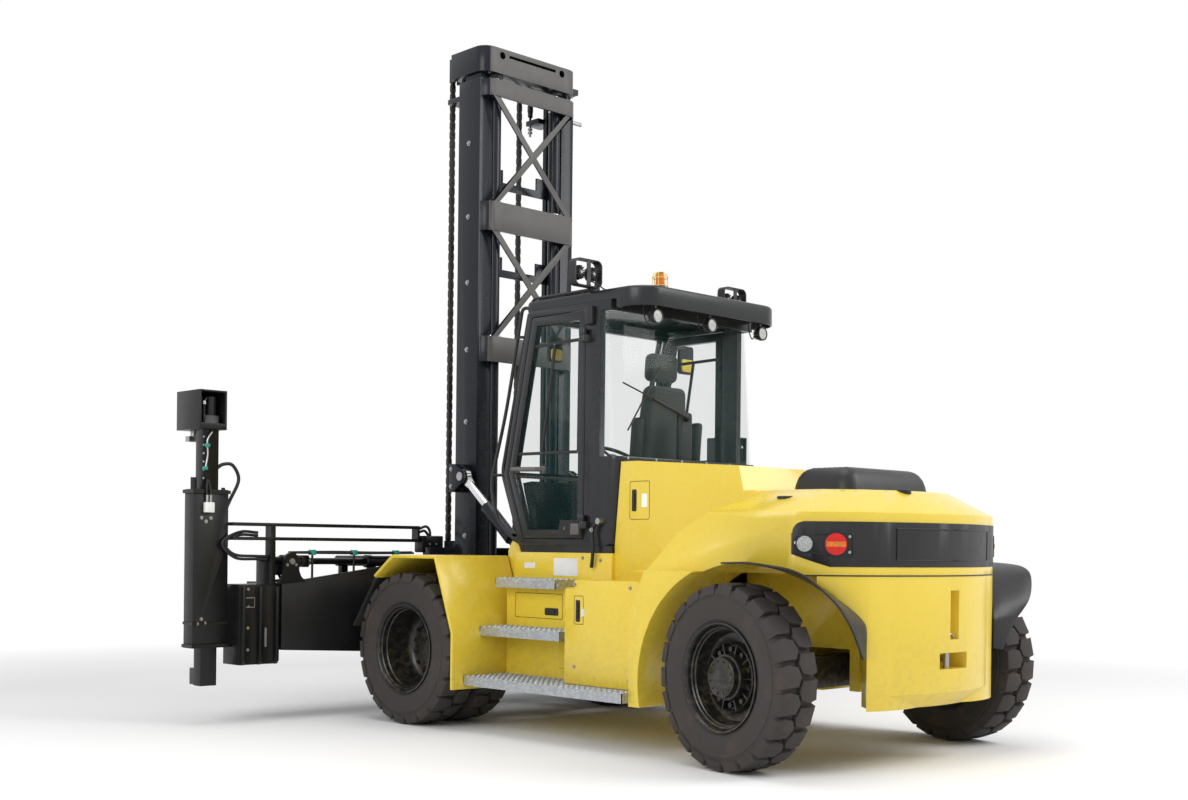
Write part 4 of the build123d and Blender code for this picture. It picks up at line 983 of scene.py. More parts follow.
def addTailLamps(shape):
    lensParts = {"clear_lens": bmesh.new(), "lamp_lens": bmesh.new()}
    dark, screws, bars = newMeshes(3)
    height = Vector((0, 0, shape["lampHeight"]))
    for share, radius, slot in shape["lamps"]:
        place, out = tailSpot(shape, share)
        place = place + height
        profile = [(-0.006, radius * 0.55), (-0.006, radius - 0.001), (0.0085, radius - 0.001),
                   (0.0105, radius * 0.93),
                   (0.0125, radius * 0.62), (0.0132, 0.0), (-0.006, 0.0)]
        addTurned(lensParts[slot], profile, place, out, 40)
        addTurned(dark, [(0.002, radius), (0.002, radius + 0.007), (0.0095, radius + 0.006),
                         (0.0105, radius)], place, out, 40)
        if slot == "lamp_lens":
            side = out.cross(Vector((0, 0, 1)))
            for end in (-1, 1):
                addBolt(screws, place + side * end * radius * 0.78 + out * 0.009, out, 0.004, 0.006)
            addPrism(bars, roundedAt((0, 0), (radius * 1.72, radius * 0.46), 0.006), "x", 0.0, 0.0035)
            spin = Matrix((out, -side, Vector((0, 0, 1)))).transposed().to_4x4()
            bmesh.ops.transform(bars, verts=bars.verts,
                                matrix=Matrix.Translation(place + out * 0.0120) @ spin)
    # edge of the panel round the two lamps, with its screws
    rim = []
    for share, up in shape["panel"]:
        place, out = tailSpot(shape, share)
        rim.append(place + height + Vector((0, 0, up)) + out * 0.0045)
    addPipe(dark, rim + rim[:1], 0.0055, 8, 0)
    for share, up in shape["panelScrews"]:
        place, out = tailSpot(shape, share)
        addBolt(screws, place + height + Vector((0, 0, up)) + out * 0.003, out, 0.006, 0.006)
    # seam between the hood and the casting below it
    seam = [tailSpot(shape, step / 12)[0] for step in range(13)]
    for step in range(1, 11):
        y = shape["shoulder"][1] * (1 - step / 10)
        seam.append(Vector((tailX(shape, y), y, 0)))
    addPipe(dark, [spot + Vector((0, 0, shape["seamHeight"])) for spot in seam], 0.0045, 6, 0)
    addBandCorners(shape)
    # outline of the plain field in the middle of the band
    foot, top = shape["field"]
    for level in (foot, top):
        row = [Vector((tailX(shape, y) - 0.003, y,
                       level)) for y in (0.50 - step / 24 for step in range(25))]
        addPipe(dark, row, 0.004, 6, 0)
        if level == foot:
            for end in (row[0], row[-1]):
                addRod(dark, end, end + Vector((0, 0, top - foot)), 0.004, 6)
    outward(lensParts["clear_lens"], lensParts["lamp_lens"], dark, screws, bars)
    for bm in (lensParts["clear_lens"], lensParts["lamp_lens"], screws, bars, dark):
        mirrored(bm)
    newPiece("redLenses", lensParts["lamp_lens"], "truck", "lamp_lens", replaced=("tail_lamps",))
    newPiece("clearLenses", lensParts["clear_lens"], "truck", "clear_lens")
    newPiece("turnBars", bars, "truck", "amber_lens")
    newPiece("lampPanels", dark, "truck", "black_plastic")
    newPiece("lampScrews", screws, "truck", "bare_steel")


addTailLamps(tailShape)

rearFittings = {
    "pin": (-3.770, 0.0), "pinFoot": 0.590, "ringHeight": 0.745,
    # black round caps on the sloping deck: x, y
    "caps": ((-3.130, 0.780), (-3.560, 0.180), (-3.130, -0.780)),
}


def deckHeight(x, y):
    # the ruled deck between the tail's rim and the flat below the vent cover
    reach = max(abs(y) / 1.0, math.hypot(x + 3.125, y * 0.62) / 0.70)
    return 1.690 - 0.145 * min(max((reach - 0.66) / 0.34, 0), 1)


def addRearFittings(settings):
    steel, black = bmesh.new(), bmesh.new()
    x, y = settings["pin"]
    addRod(steel, (x, y, settings["pinFoot"]), (x, y, settings["ringHeight"]), 0.0195, 24)
    ring = [(x - 0.030 + 0.004 * cos(a), y + 0.034 * cos(a),
             settings["ringHeight"] + 0.034 + 0.034 * sin(a))
            for a in circle(20)]
    addPipe(steel, ring, 0.006, 8, 0, True)
    addTurned(steel, [(0, 0.0), (0, 0.022), (0.016, 0.022), (0.016, 0.012), (0.030, 0.012), (0.030, 0.0)],
              (-3.680, -0.085, 0.650), (-1, 0, 0), 24)
    for capX, capY in settings["caps"]:
        top = deckHeight(capX, capY)
        addTurned(black, [(-0.02, 0.0), (-0.02, 0.056), (0.004, 0.056), (0.007, 0.050), (0.007, 0.0)],
                  (capX, capY, top), (0, 0, 1), 32)
    outward(steel, black)
    newPiece("towPin", steel, "truck", "bare_steel", replaced=("tow_pin",))
    newPiece("deckCaps", black, "truck", "black_plastic")


addRearFittings(rearFittings)
print("body fittings ready")


# Roof lamps, beacon, work lamps

roofShape = {
    "top": 3.110, "pairX": -1.370, "pairY": 0.780, "pairDepth": 0.070, "pairWide": 0.260,
    "pairHigh": 0.190,
    "sheet": 0.008, "lampRadius": 0.052, "lampSpread": 0.062, "fins": 14,
    "workX": -1.830, "workY": (-0.560, 0.0, 0.560), "workZ": 2.905, "workRadius": 0.050,
    "beacon": (-1.720, 0.430), "cageWires": 6,
}


def addRoofLamps(shape):
    top, pairX, pairY, pairHigh, lampRadius, workX, workZ = pick(shape, "top", "pairX", "pairY",
            "pairHigh", "lampRadius", "workX", "workZ")
    black, glass, steel = newMeshes(3)
    middleZ = top + 0.025 + pairHigh / 2
    for side in (1, -1):
        y0 = side * pairY
        outer = roundedLoop(shape["pairWide"], pairHigh, 0.045, 8)
        inner = roundedLoop(shape["pairWide"] - 2 * shape["sheet"], pairHigh - 2 * shape["sheet"], 0.037,
                            8)
        rings = [[black.verts.new((x, y0 + a, middleZ + b)) for a, b in loop]
                 for x, loop in ((pairX, outer), (pairX + shape["pairDepth"], outer),
                                 (pairX + shape["pairDepth"], inner), (pairX, inner))]
        joinRings(black, rings, True)
        addBox(black, (pairX, y0 - 0.018, middleZ - pairHigh / 2 + 0.004),
               (pairX + 0.006, y0 + 0.018, middleZ + pairHigh / 2 - 0.004))
        for end in (1, -1):
            lampY = y0 + end * shape["lampSpread"]
            place = (pairX + 0.014, lampY, middleZ)
            addTurned(black, [(0.0, 0.0), (0.0, 0.020), (0.020, 0.024), (0.024, 0.046),
                              (0.044, lampRadius),
                              (0.050, lampRadius), (0.050, 0.0)], place, (1, 0, 0), 36)
            for turn in circle(shape["fins"]):
                verts = addBox(black, (0.002, 0.018, -0.0016), (0.040, 0.049, 0.0016))
                spin = Matrix.Translation(place) @ Matrix.Rotation(turn, 4, "X")
                bmesh.ops.transform(black, verts=verts, matrix=spin)
            addTurned(glass, [(0.049, 0.0), (0.049, lampRadius - 0.005), (0.053, lampRadius - 0.006),
                              (0.055, 0.0)], place, (1, 0, 0), 36)
            addBolt(steel, (pairX + 0.014, lampY, middleZ), (-1, 0, 0), 0.006, 0.008)
        foot = side * (pairY - 0.090)
        addBox(black, (pairX + 0.012, foot - 0.028, top - 0.006),
               (pairX + 0.058, foot + 0.028, top + 0.032))
        addPipe(black, [(pairX + 0.02, y0 - side * 0.04, middleZ - 0.05),
                        (pairX - 0.02, y0 - side * 0.10, middleZ - 0.09),
                        (pairX - 0.06, foot, top + 0.01), (pairX - 0.10, foot - side * 0.03,
                                top - 0.004)], 0.005, 8)
    for y in shape["workY"]:
        place = (workX, y, workZ)
        radius = shape["workRadius"]
        addTurned(black, [(0.0, radius - 0.008), (0.0, radius), (0.026, radius), (0.040, radius - 0.006),
                          (0.066, 0.030),
                          (0.072, 0.016), (0.072, 0.0), (0.010, 0.0), (0.010, radius - 0.008)], place,
                          (1, 0, 0), 40)
        for fin in range(9):
            level = workZ - 0.036 + fin * 0.009
            half = math.sqrt(max(0.046 ** 2 - (level - workZ) ** 2, 0.0004))
            addBox(black, (workX + 0.030, y - half, level - 0.0014),
                   (workX + 0.062, y + half, level + 0.0014))
        addTurned(glass, [(0.0035, 0.0), (0.0015, radius * 0.6), (0.0035, radius - 0.009),
                          (0.011, radius - 0.009), (0.011, 0.0)],
                  place, (1, 0, 0), 40)
        addBox(black, (workX + 0.030, y - 0.014, workZ + 0.040), (workX + 0.050, y + 0.014, 3.028))
        addBolt(steel, (workX + 0.028, y, workZ + 0.068), (-1, 0, 0), 0.007, 0.008)
        addPipe(black, [(workX + 0.070, y, workZ), (workX + 0.100, y + 0.01, workZ - 0.03),
                        (workX + 0.115, y + 0.03, workZ + 0.05), (workX + 0.100, y + 0.04, 3.028)],
                        0.0045, 8)
    outward(black, glass, steel)
    newPiece("roofLampBodies", black, "truck", "black_plastic", 28, replaced=("roof_lamps",))
    newPiece("roofLampGlass", glass, "truck", "clear_lens")
    newPiece("roofLampBolts", steel, "truck", "bare_steel")


def addBeacon(shape):
    top = shape["top"]
    amber, base, cage = newMeshes(3)
    x, y = shape["beacon"]
    place = (x, y, top)
    addTurned(base, [(0.0, 0.0), (0.0, 0.046), (0.026, 0.044), (0.030, 0.036), (0.030, 0.0)], place,
              (0, 0, 1), 32)
    addTurned(base, [(0.112, 0.0), (0.112, 0.026), (0.119, 0.022), (0.120, 0.0)], place, (0, 0, 1), 32)
    profile = [(0.030, 0.0), (0.030, 0.034)]
    for rib in range(8):
        at = 0.036 + rib * 0.0095
        profile += [(at, 0.0335 - rib * 0.0004), (at + 0.0045, 0.0315 - rib * 0.0004)]
    profile += [(0.113, 0.027), (0.113, 0.0)]
    addTurned(amber, profile, place, (0, 0, 1), 40)
    reach = 0.055
    for turn in circle(shape["cageWires"]):
        c, s = cos(turn), sin(turn)
        addPipe(cage, [(x + reach * c, y + reach * s, top + 0.002),
                       (x + reach * c, y + reach * s, top + 0.070),
                       (x + 0.050 * c, y + 0.050 * s, top + 0.105),
                       (x + 0.028 * c, y + 0.028 * s, top + 0.124),
                       (x, y, top + 0.127)], 0.0028, 8, 5)
    for level, radius in ((0.006, reach), (0.030, reach), (0.085, 0.0545)):
        ring = [(x + radius * cos(a), y + radius * sin(a), top + level) for a in circle(28)]
        addPipe(cage, ring, 0.0028, 8, 0, True)
    outward(amber, base, cage)
    newPiece("beaconLens", amber, "truck", "amber_lens", replaced=("beacon",))
    newPiece("beaconBase", base, "truck", "black_plastic")
    newPiece("beaconCage", cage, "truck", "yellow_paint")


addRoofLamps(roofShape)
addBeacon(roofShape)
print("roof lamps ready")


# Rear mudguards: a flange that stands out square to the rear corners

guardShape = {
    "sheet": 0.012,
    # root and outer edge of each section of the left guard, from the top of the arch down
    "sections": (((-3.040, 1.052, 1.240), (-3.060, 1.300, 1.236)),
                 ((-3.170, 1.035, 1.226), (-3.265, 1.330, 1.240)),
                 ((-3.300, 1.010, 1.194), (-3.450, 1.335, 1.228)),
                 ((-3.400, 0.970, 1.152), (-3.560, 1.290, 1.208)),
                 ((-3.476, 0.920, 1.103), (-3.640, 1.230, 1.165)),
                 ((-3.560, 0.850, 1.034), (-3.700, 1.140, 1.080)),
                 ((-3.622, 0.780, 0.968), (-3.731, 1.054, 1.000)),
                 ((-3.660, 0.722, 0.905), (-3.726, 0.972, 0.925)),
                 ((-3.674, 0.702, 0.850), (-3.716, 0.900, 0.860)),
                 ((-3.674, 0.702, 0.690), (-3.705, 0.770, 0.680))),
    "across": 5,
}


def addGuards(shape):
    bm = bmesh.new()
    roots = smoothPath([root for root, edge in shape["sections"]], 4)
    edges = smoothPath([edge for root, edge in shape["sections"]], 4)
    grid = []
    for root, edge in zip(roots, edges):
        grid.append([root.lerp(edge, step / (shape["across"] - 1)) for step in range(shape["across"])])
    layers = []
    for offset in (0.5, -0.5):
        layer = []
        for number, row in enumerate(grid):
            ahead = grid[min(number + 1, len(grid) - 1)][2] - grid[max(number - 1, 0)][2]
            normal = ahead.cross(row[-1] - row[0]).normalized()
            layer.append([bm.verts.new(spot + normal * offset * shape["sheet"]) for spot in row])
        layers.append(layer)
    rows, columns = len(grid), shape["across"]
    for layer in layers:
        for a in range(rows - 1):
            for b in range(columns - 1):
                bm.faces.new((layer[a][b], layer[a + 1][b], layer[a + 1][b + 1], layer[a][b + 1]))
    for a in range(rows - 1):
        for b in (0, columns - 1):
            bm.faces.new((layers[0][a][b], layers[0][a + 1][b], layers[1][a + 1][b], layers[1][a][b]))
    for b in range(columns - 1):
        for a in (0, rows - 1):
            bm.faces.new((layers[0][a][b], layers[0][a][b + 1], layers[1][a][b + 1], layers[1][a][b]))
    outward(bm)
    bevelSharp(bm, 0.003, 2, 50)
    mirrored(bm)
    newPiece("rearGuards", bm, "truck", "black_plastic", 50, replaced=("rear_mudguards",))


addGuards(guardShape)


# Cab: interior, door furniture, wiper, mirrors, rails

cabShape = {
    # cushions of the seat: low corner, high corner, lean of the top to the rear, corner radius
    "cushions": (((-1.330, -0.255, 1.745), (-0.905, 0.255, 1.880), 0.0, 0.055),
                 ((-1.400, -0.225, 1.850), (-1.275, 0.265, 2.495), 0.050, 0.050),
                 ((-1.400, -0.125, 2.530), (-1.295, 0.170, 2.735), 0.012, 0.048)),
    "shoulders": 0.72,     # width of the backrest at its top, as a share of its width at the foot
    # side of the front panel, x and z, and its half length
    "frontPanel": ((-0.745, 1.336), (-0.705, 1.336), (-0.585, 1.700), (-0.560, 1.790), (-0.660, 1.800)),
    "panelHalf": 0.660,
    # folded arm rests beside the backrest: middle y
    "armRests": (0.330, -0.290),
    "wheel": (-0.850, 0.0, 2.010), "wheelRadius": 0.175, "wheelLean": 25,
    # dark boxes of the interior: low corner, high corner
    "trim": (((-1.250, -0.430, 1.335), (-0.900, -0.330, 1.950)),
             ((-1.540, -0.690, 1.335), (-1.490, 0.690, 1.925)),
             ((-1.240, -0.685, 1.335), (-0.760, -0.600, 1.900)),
             ((-0.760, -0.680, 1.335), (-0.690, 0.680, 1.380)),
             ((-1.280, -0.205, 1.335), (-0.960, 0.205, 1.700)), ((-1.300, 0.300, 1.740),
                     (-0.930, 0.360, 1.850)),
             ((-0.830, -0.300, 1.335), (-0.700, 0.300, 1.830))),
}


def addRounded(bm, low, high, lean, radius, segments=5):
    part = bmesh.new()
    addBox(part, low, high)
    bevelEdges(part, part.edges[:], radius, segments, clamp=False)
    for vert in part.verts:
        vert.co.x -= lean * (vert.co.z - low[2]) / (high[2] - low[2])
    mesh = bpy.data.meshes.new("part")
    part.to_mesh(mesh)
    part.free()
    bm.from_mesh(mesh)
    bpy.data.meshes.remove(mesh)


def addCab(shape):
    for number, (low, high, lean, radius) in enumerate(shape["cushions"]):
        bm = bmesh.new()
        addRounded(bm, low, high, lean, radius)
        if number == 1:
            for vert in bm.verts:
                share = (vert.co.z - low[2]) / (high[2] - low[2])
                middle = (low[1] + high[1]) / 2
                vert.co.y = middle + (vert.co.y - middle) * (1 - (1 - shape["shoulders"]) * share ** 2)
        cushion = newPiece("seatCushion" + str(number), bm, "truck", "seat_fabric", 60,
                           replaced=("seat",))
    trim, wheel = bmesh.new(), bmesh.new()
    for low, high in shape["trim"]:
        addRounded(trim, low, high, 0, 0.012, 2)
    for level in range(7):
        z = 1.400 + level * 0.045
        addRounded(trim, (-1.290, -0.215, z), (-0.950, 0.215, z + 0.030), 0, 0.012, 2)
    for y in (-0.040, 0.080):
        addRod(trim, (-1.385, y, 2.470), (-1.355, y, 2.560), 0.007, 10)
    addPrism(trim, shape["frontPanel"], "y", -shape["panelHalf"], shape["panelHalf"])
    for y in shape["armRests"]:
        addRounded(trim, (-1.440, y - 0.032, 1.860), (-1.345, y + 0.032, 2.250), 0.030, 0.025, 3)
        addRod(trim, (-1.385, y - 0.060, 1.900), (-1.385, y + 0.060, 1.900), 0.020, 14)
    middle = Vector(shape["wheel"])
    lean = Matrix.Translation(middle) @ Matrix.Rotation(radians(-shape["wheelLean"]), 4, "Y")
    ring = [lean @ Vector((shape["wheelRadius"] * cos(a), shape["wheelRadius"] * sin(a), 0))
            for a in circle(48)]
    addPipe(wheel, ring, 0.014, 12, 0, True)
    for a in circle(3):
        addPipe(wheel, [lean @ Vector((0.02 * cos(a), 0.02 * sin(a), -0.02)),
                        lean @ Vector((shape["wheelRadius"] * cos(a), shape["wheelRadius"] * sin(a),
                                       0))], 0.011, 10, 0)
    addTurned(wheel, [(-0.05, 0.0), (-0.05, 0.03), (0.0, 0.042), (0.006, 0.036), (0.006, 0.0)], middle,
              lean.to_3x3() @ Vector((0, 0, 1)), 28)
    addPipe(wheel, [(-0.760, 0, 1.350), (-0.790, 0, 1.600), tuple(middle - Vector((-0.012, 0, 0.035)))],
            0.036, 16, 4)
    addPipe(wheel, [(-0.980, -0.380, 1.950), (-0.975, -0.380, 2.030), (-0.965, -0.378, 2.080)], 0.010,
            10, 4)
    bmesh.ops.create_uvsphere(wheel, u_segments=16, v_segments=10, radius=0.026,
                              matrix=Matrix.Translation((-0.965, -0.378, 2.090)))
    addRounded(trim, (-1.020, -0.470, 2.080), (-0.990, -0.250, 2.230), -0.02, 0.008, 2)
    addPipe(trim, [(-1.010, -0.360, 1.940), (-1.000, -0.360, 2.090)], 0.010, 10, 0)
    outward(trim, wheel)
    newPiece("cabTrim", trim, "truck", "black_plastic", 40, replaced=("cab_controls",))
    newPiece("steeringWheel", wheel, "truck", "black_plastic", 40)


addCab(cabShape)

doorShape = {
    "glassFace": 0.730, "frameFace": 0.750,
    # bars of the sliding pane in the door: x, z of both ends
    "bars": (((-0.700, 2.772), (-1.245, 2.782)), ((-1.240, 2.782), (-1.235, 1.990)),
             ((-0.575, 1.998), (-1.240, 1.992)),
             ((-0.982, 2.770), (-0.850, 2.000))),
    "grab": ((-0.573, 1.885), (-0.860, 1.878)), "grabY": 0.785, "grabRadius": 0.017,
    "lock": ((-1.078, 1.512), (-1.302, 1.506), (-1.302, 1.384), (-1.052, 1.384), (-1.056, 1.420)),
    "handle": ((-1.210, 1.405), (-1.296, 1.486)),
}


def addDoorFurniture(shape, side, body):
    black, grey, steel = newMeshes(3)
    for (xa, za), (xb, zb) in shape["bars"]:
        run = Vector((xb - xa, 0, zb - za)).normalized()
        across = Vector((-run.z, 0, run.x)) * 0.011
        corners = [(xa + across.x, za + across.z), (xb + across.x, zb + across.z),
                   (xb - across.x, zb - across.z),
                   (xa - across.x, za - across.z)]
        addPrism(black, corners, "y", side * (shape["glassFace"] - 0.001),
                 side * (shape["glassFace"] + 0.014))
        for x, z in ((xa, za), (xb, zb)):
            addBolt(steel, (x, side * (shape["glassFace"] + 0.013), z), (0, side, 0), 0.0045, 0.004)
    addPrism(black, shape["lock"], "y", side * (shape["glassFace"] - 0.004),
             side * (shape["frameFace"] + 0.012))
    (xa, za), (xb, zb) = shape["handle"]
    addRounded(grey, (min(xa, xb), min(side * 0.756, side * 0.790), za),
               (max(xa, xb), max(side * 0.756, side * 0.790), zb), 0, 0.009, 3)
    addTurned(grey, [(0.0, 0.0), (0.0, 0.011), (0.006, 0.011), (0.006, 0.0)],
              (-1.130, side * 0.761, 1.452), (0, side, 0), 20)
    (xa, za), (xb, zb) = shape["grab"]
    addPipe(grey, [(xa, side * 0.731, za), (xa - 0.010, side * shape["grabY"], za),
                   (xb + 0.010, side * shape["grabY"], zb),
                   (xb, side * 0.731, zb)], shape["grabRadius"], 14, 0)
    for x, z in ((xa, za), (xb, zb)):
        addRod(grey, (x, side * 0.729, z), (x, side * 0.742, z), 0.028, 20)
    outward(black, grey, steel)
    bevelSharp(black, 0.002, 1)
    end = "Left" if side > 0 else "Right"
    newPiece("doorBars" + end, black, body, "black_plastic")
    newPiece("doorHandles" + end, grey, body, "grey_plastic")
    newPiece("doorScrews" + end, steel, body, "bare_steel")


addDoorFurniture(doorShape, 1, "door_left")
addDoorFurniture(doorShape, -1, "door_right")

outsideShape = {
    "wiper": ((-1.634, 0.020, 2.250), (-1.626, 0.690, 2.455)),
    "rearBolts": (0.650, 0.368, 0.103, -0.160, -0.420, -0.650),
    # mirrors: middle, half width, half height, arm's foot
    "mirrors": (((-0.500, 0.300, 2.815), 0.065, 0.090, (-0.668, 0.300, 3.060)),
                ((-0.470, -1.200, 2.880), 0.080, 0.110, (-0.690, -0.720, 2.960))),
    "railHeight": 3.128, "railEnds": (-0.700, -1.330), "railY": 0.715,
    # climbing rail ahead of the front post: x, z from the roof down, and where its brackets meet the post
    "climbRail": ((-0.745, 3.022), (-0.680, 3.062), (-0.625, 3.055), (-0.604, 2.990), (-0.570, 2.840),
                  (-0.451, 2.332), (-0.322, 1.914), (-0.299, 1.816),
                  (-0.302, 1.711), (-0.382, 1.500), (-0.560, 1.370), (-0.660, 1.345)),
    "climbY": 0.735, "climbRadius": 0.013,
    "climbStays": (((-0.575, 2.860), (-0.690, 2.850)), ((-0.312, 1.850), (-0.500, 1.850))),
}


def addOutside(shape):
    railHeight, climbY = pick(shape, "railHeight", "climbY")
    black, yellow, glass, steel = newMeshes(4)
    pivot, tip = (Vector(end) for end in shape["wiper"])
    addRod(black, pivot, pivot + Vector((0.030, 0, 0)), 0.022, 20)
    addPipe(black, [pivot, pivot.lerp(tip, 0.55)], 0.011, 10, 0)
    addPipe(black, [pivot.lerp(tip, 0.30) + Vector((0, 0, 0.006)), tip], 0.006, 8, 0)
    addPipe(black, [pivot.lerp(tip, 0.52) + Vector((0.006, -0.05, 0.24)),
                    pivot.lerp(tip, 0.88) + Vector((0.010, 0.02, -0.30))], 0.006, 8, 0)
    addRounded(black, (-1.600, -0.060, 1.930), (-1.545, 0.072, 2.300), 0, 0.022, 3)
    for y in shape["rearBolts"]:
        addBolt(steel, (-1.641, y, 1.938), (-1, 0, 0), 0.007, 0.006)
    for middle, wide, high, foot in shape["mirrors"]:
        middle, foot = Vector(middle), Vector(foot)
        back = roundedLoop(2 * wide, 2 * high, 0.025, 5)
        cover = roundedLoop(1.7 * wide, 0.95 * high, 0.020, 5)
        addPrism(yellow, [(middle.y + a, middle.z - 0.42 * high + b) for a, b in cover], "x",
                 middle.x - 0.030, middle.x - 0.012)
        addPrism(black, [(middle.y + a * 1.05, middle.z + b * 1.05) for a, b in back], "x",
                 middle.x - 0.014, middle.x + 0.012)
        addPrism(glass, [(middle.y + a * 0.92, middle.z + b * 0.92) for a, b in back], "x",
                 middle.x + 0.011, middle.x + 0.0135)
        addPipe(black, [tuple(foot), tuple(foot.lerp(middle, 0.5) + Vector((0.03, 0, 0.03))),
                        tuple(middle + Vector((0, 0, high * 0.9)))], 0.012, 10, 5)
    for side in (1, -1):
        y = side * shape["railY"]
        front, rear = shape["railEnds"]
        for inset in (0.0, 0.055):
            addPipe(black, [(front, y - side * inset, railHeight - 0.026),
                            (front - 0.03, y - side * inset, railHeight),
                            (rear + 0.03, y - side * inset, railHeight),
                            (rear, y - side * inset, railHeight - 0.026)], 0.010, 10, 0)
        for share in (0.15, 0.5, 0.85):
            x = front + (rear - front) * share
            addBox(black, (x - 0.012, min(y, y - side * 0.055), 3.105),
                   (x + 0.012, max(y, y - side * 0.055), railHeight))
        low, high = sorted((side * 0.745, side * 0.786))
        addRounded(black, (-1.408, low, 2.870), (-1.334, high, 3.000), 0, 0.010, 2)
        addPipe(black, [(x, side * climbY, z) for x, z in shape["climbRail"]], shape["climbRadius"], 10,
                5)
        for start, end in shape["climbStays"]:
            addPipe(black, [(start[0], side * climbY, start[1]), (end[0], side * 0.720, end[1])], 0.011,
                    10, 0)
        hold = [(-1.505, side * 0.752, 1.500), (-1.500, side * 0.782, 1.500),
                (-1.438, side * 0.786, 1.440), (-1.442, side * 0.784, 1.290),
                (-1.415, side * 0.770, 1.180)]
        addPipe(black, hold, 0.013, 10, 5)
        addRod(steel, (-1.500, side * 0.750, 1.500), (-1.500, side * 0.800, 1.500), 0.022, 20)
        addBolt(steel, (-1.440, side * 0.797, 1.440), (0, side, 0), 0.011, 0.012)
    outward(black, yellow, glass, steel)
    bevelSharp(yellow, 0.008, 3, 60)
    newPiece("cabFittings", black, "truck", "black_plastic", 40)
    newPiece("mirrorBacks", yellow, "truck", "yellow_paint", 50)
    newPiece("mirrorGlass", glass, "truck", "mirror_face")
    newPiece("cabBolts", steel, "truck", "bare_steel")


addOutside(outsideShape)
print("cab ready")


# Mast: collars, pale strips of painted highlight on the rails, chain anchors, pipework

mastShape = {
    "cylinder": (0.210, 0.318), "tieTops": (4.030, 2.970), "barrelTop": 4.900, "headFoot": 5.050,
    "sheave": (0.630, 5.180),
    # sheenRear: rear-facing faces ahead of this x get the painted sheen
    "chainRear": 0.560, "chainY": 0.360, "bracketFoot": 4.860, "sheenRear": 0.135,
    # pale strips on the rails, a painted highlight: x, y, low end, high end
    "strips": ((0.206, 0.385, 4.080, 4.840), (0.206, 0.385, 3.000, 3.760), (0.206, 0.385, 1.060, 2.720)),
    "railBolts": (0.900, 1.400, 2.300, 2.870, 3.400, 3.920, 4.500),
}


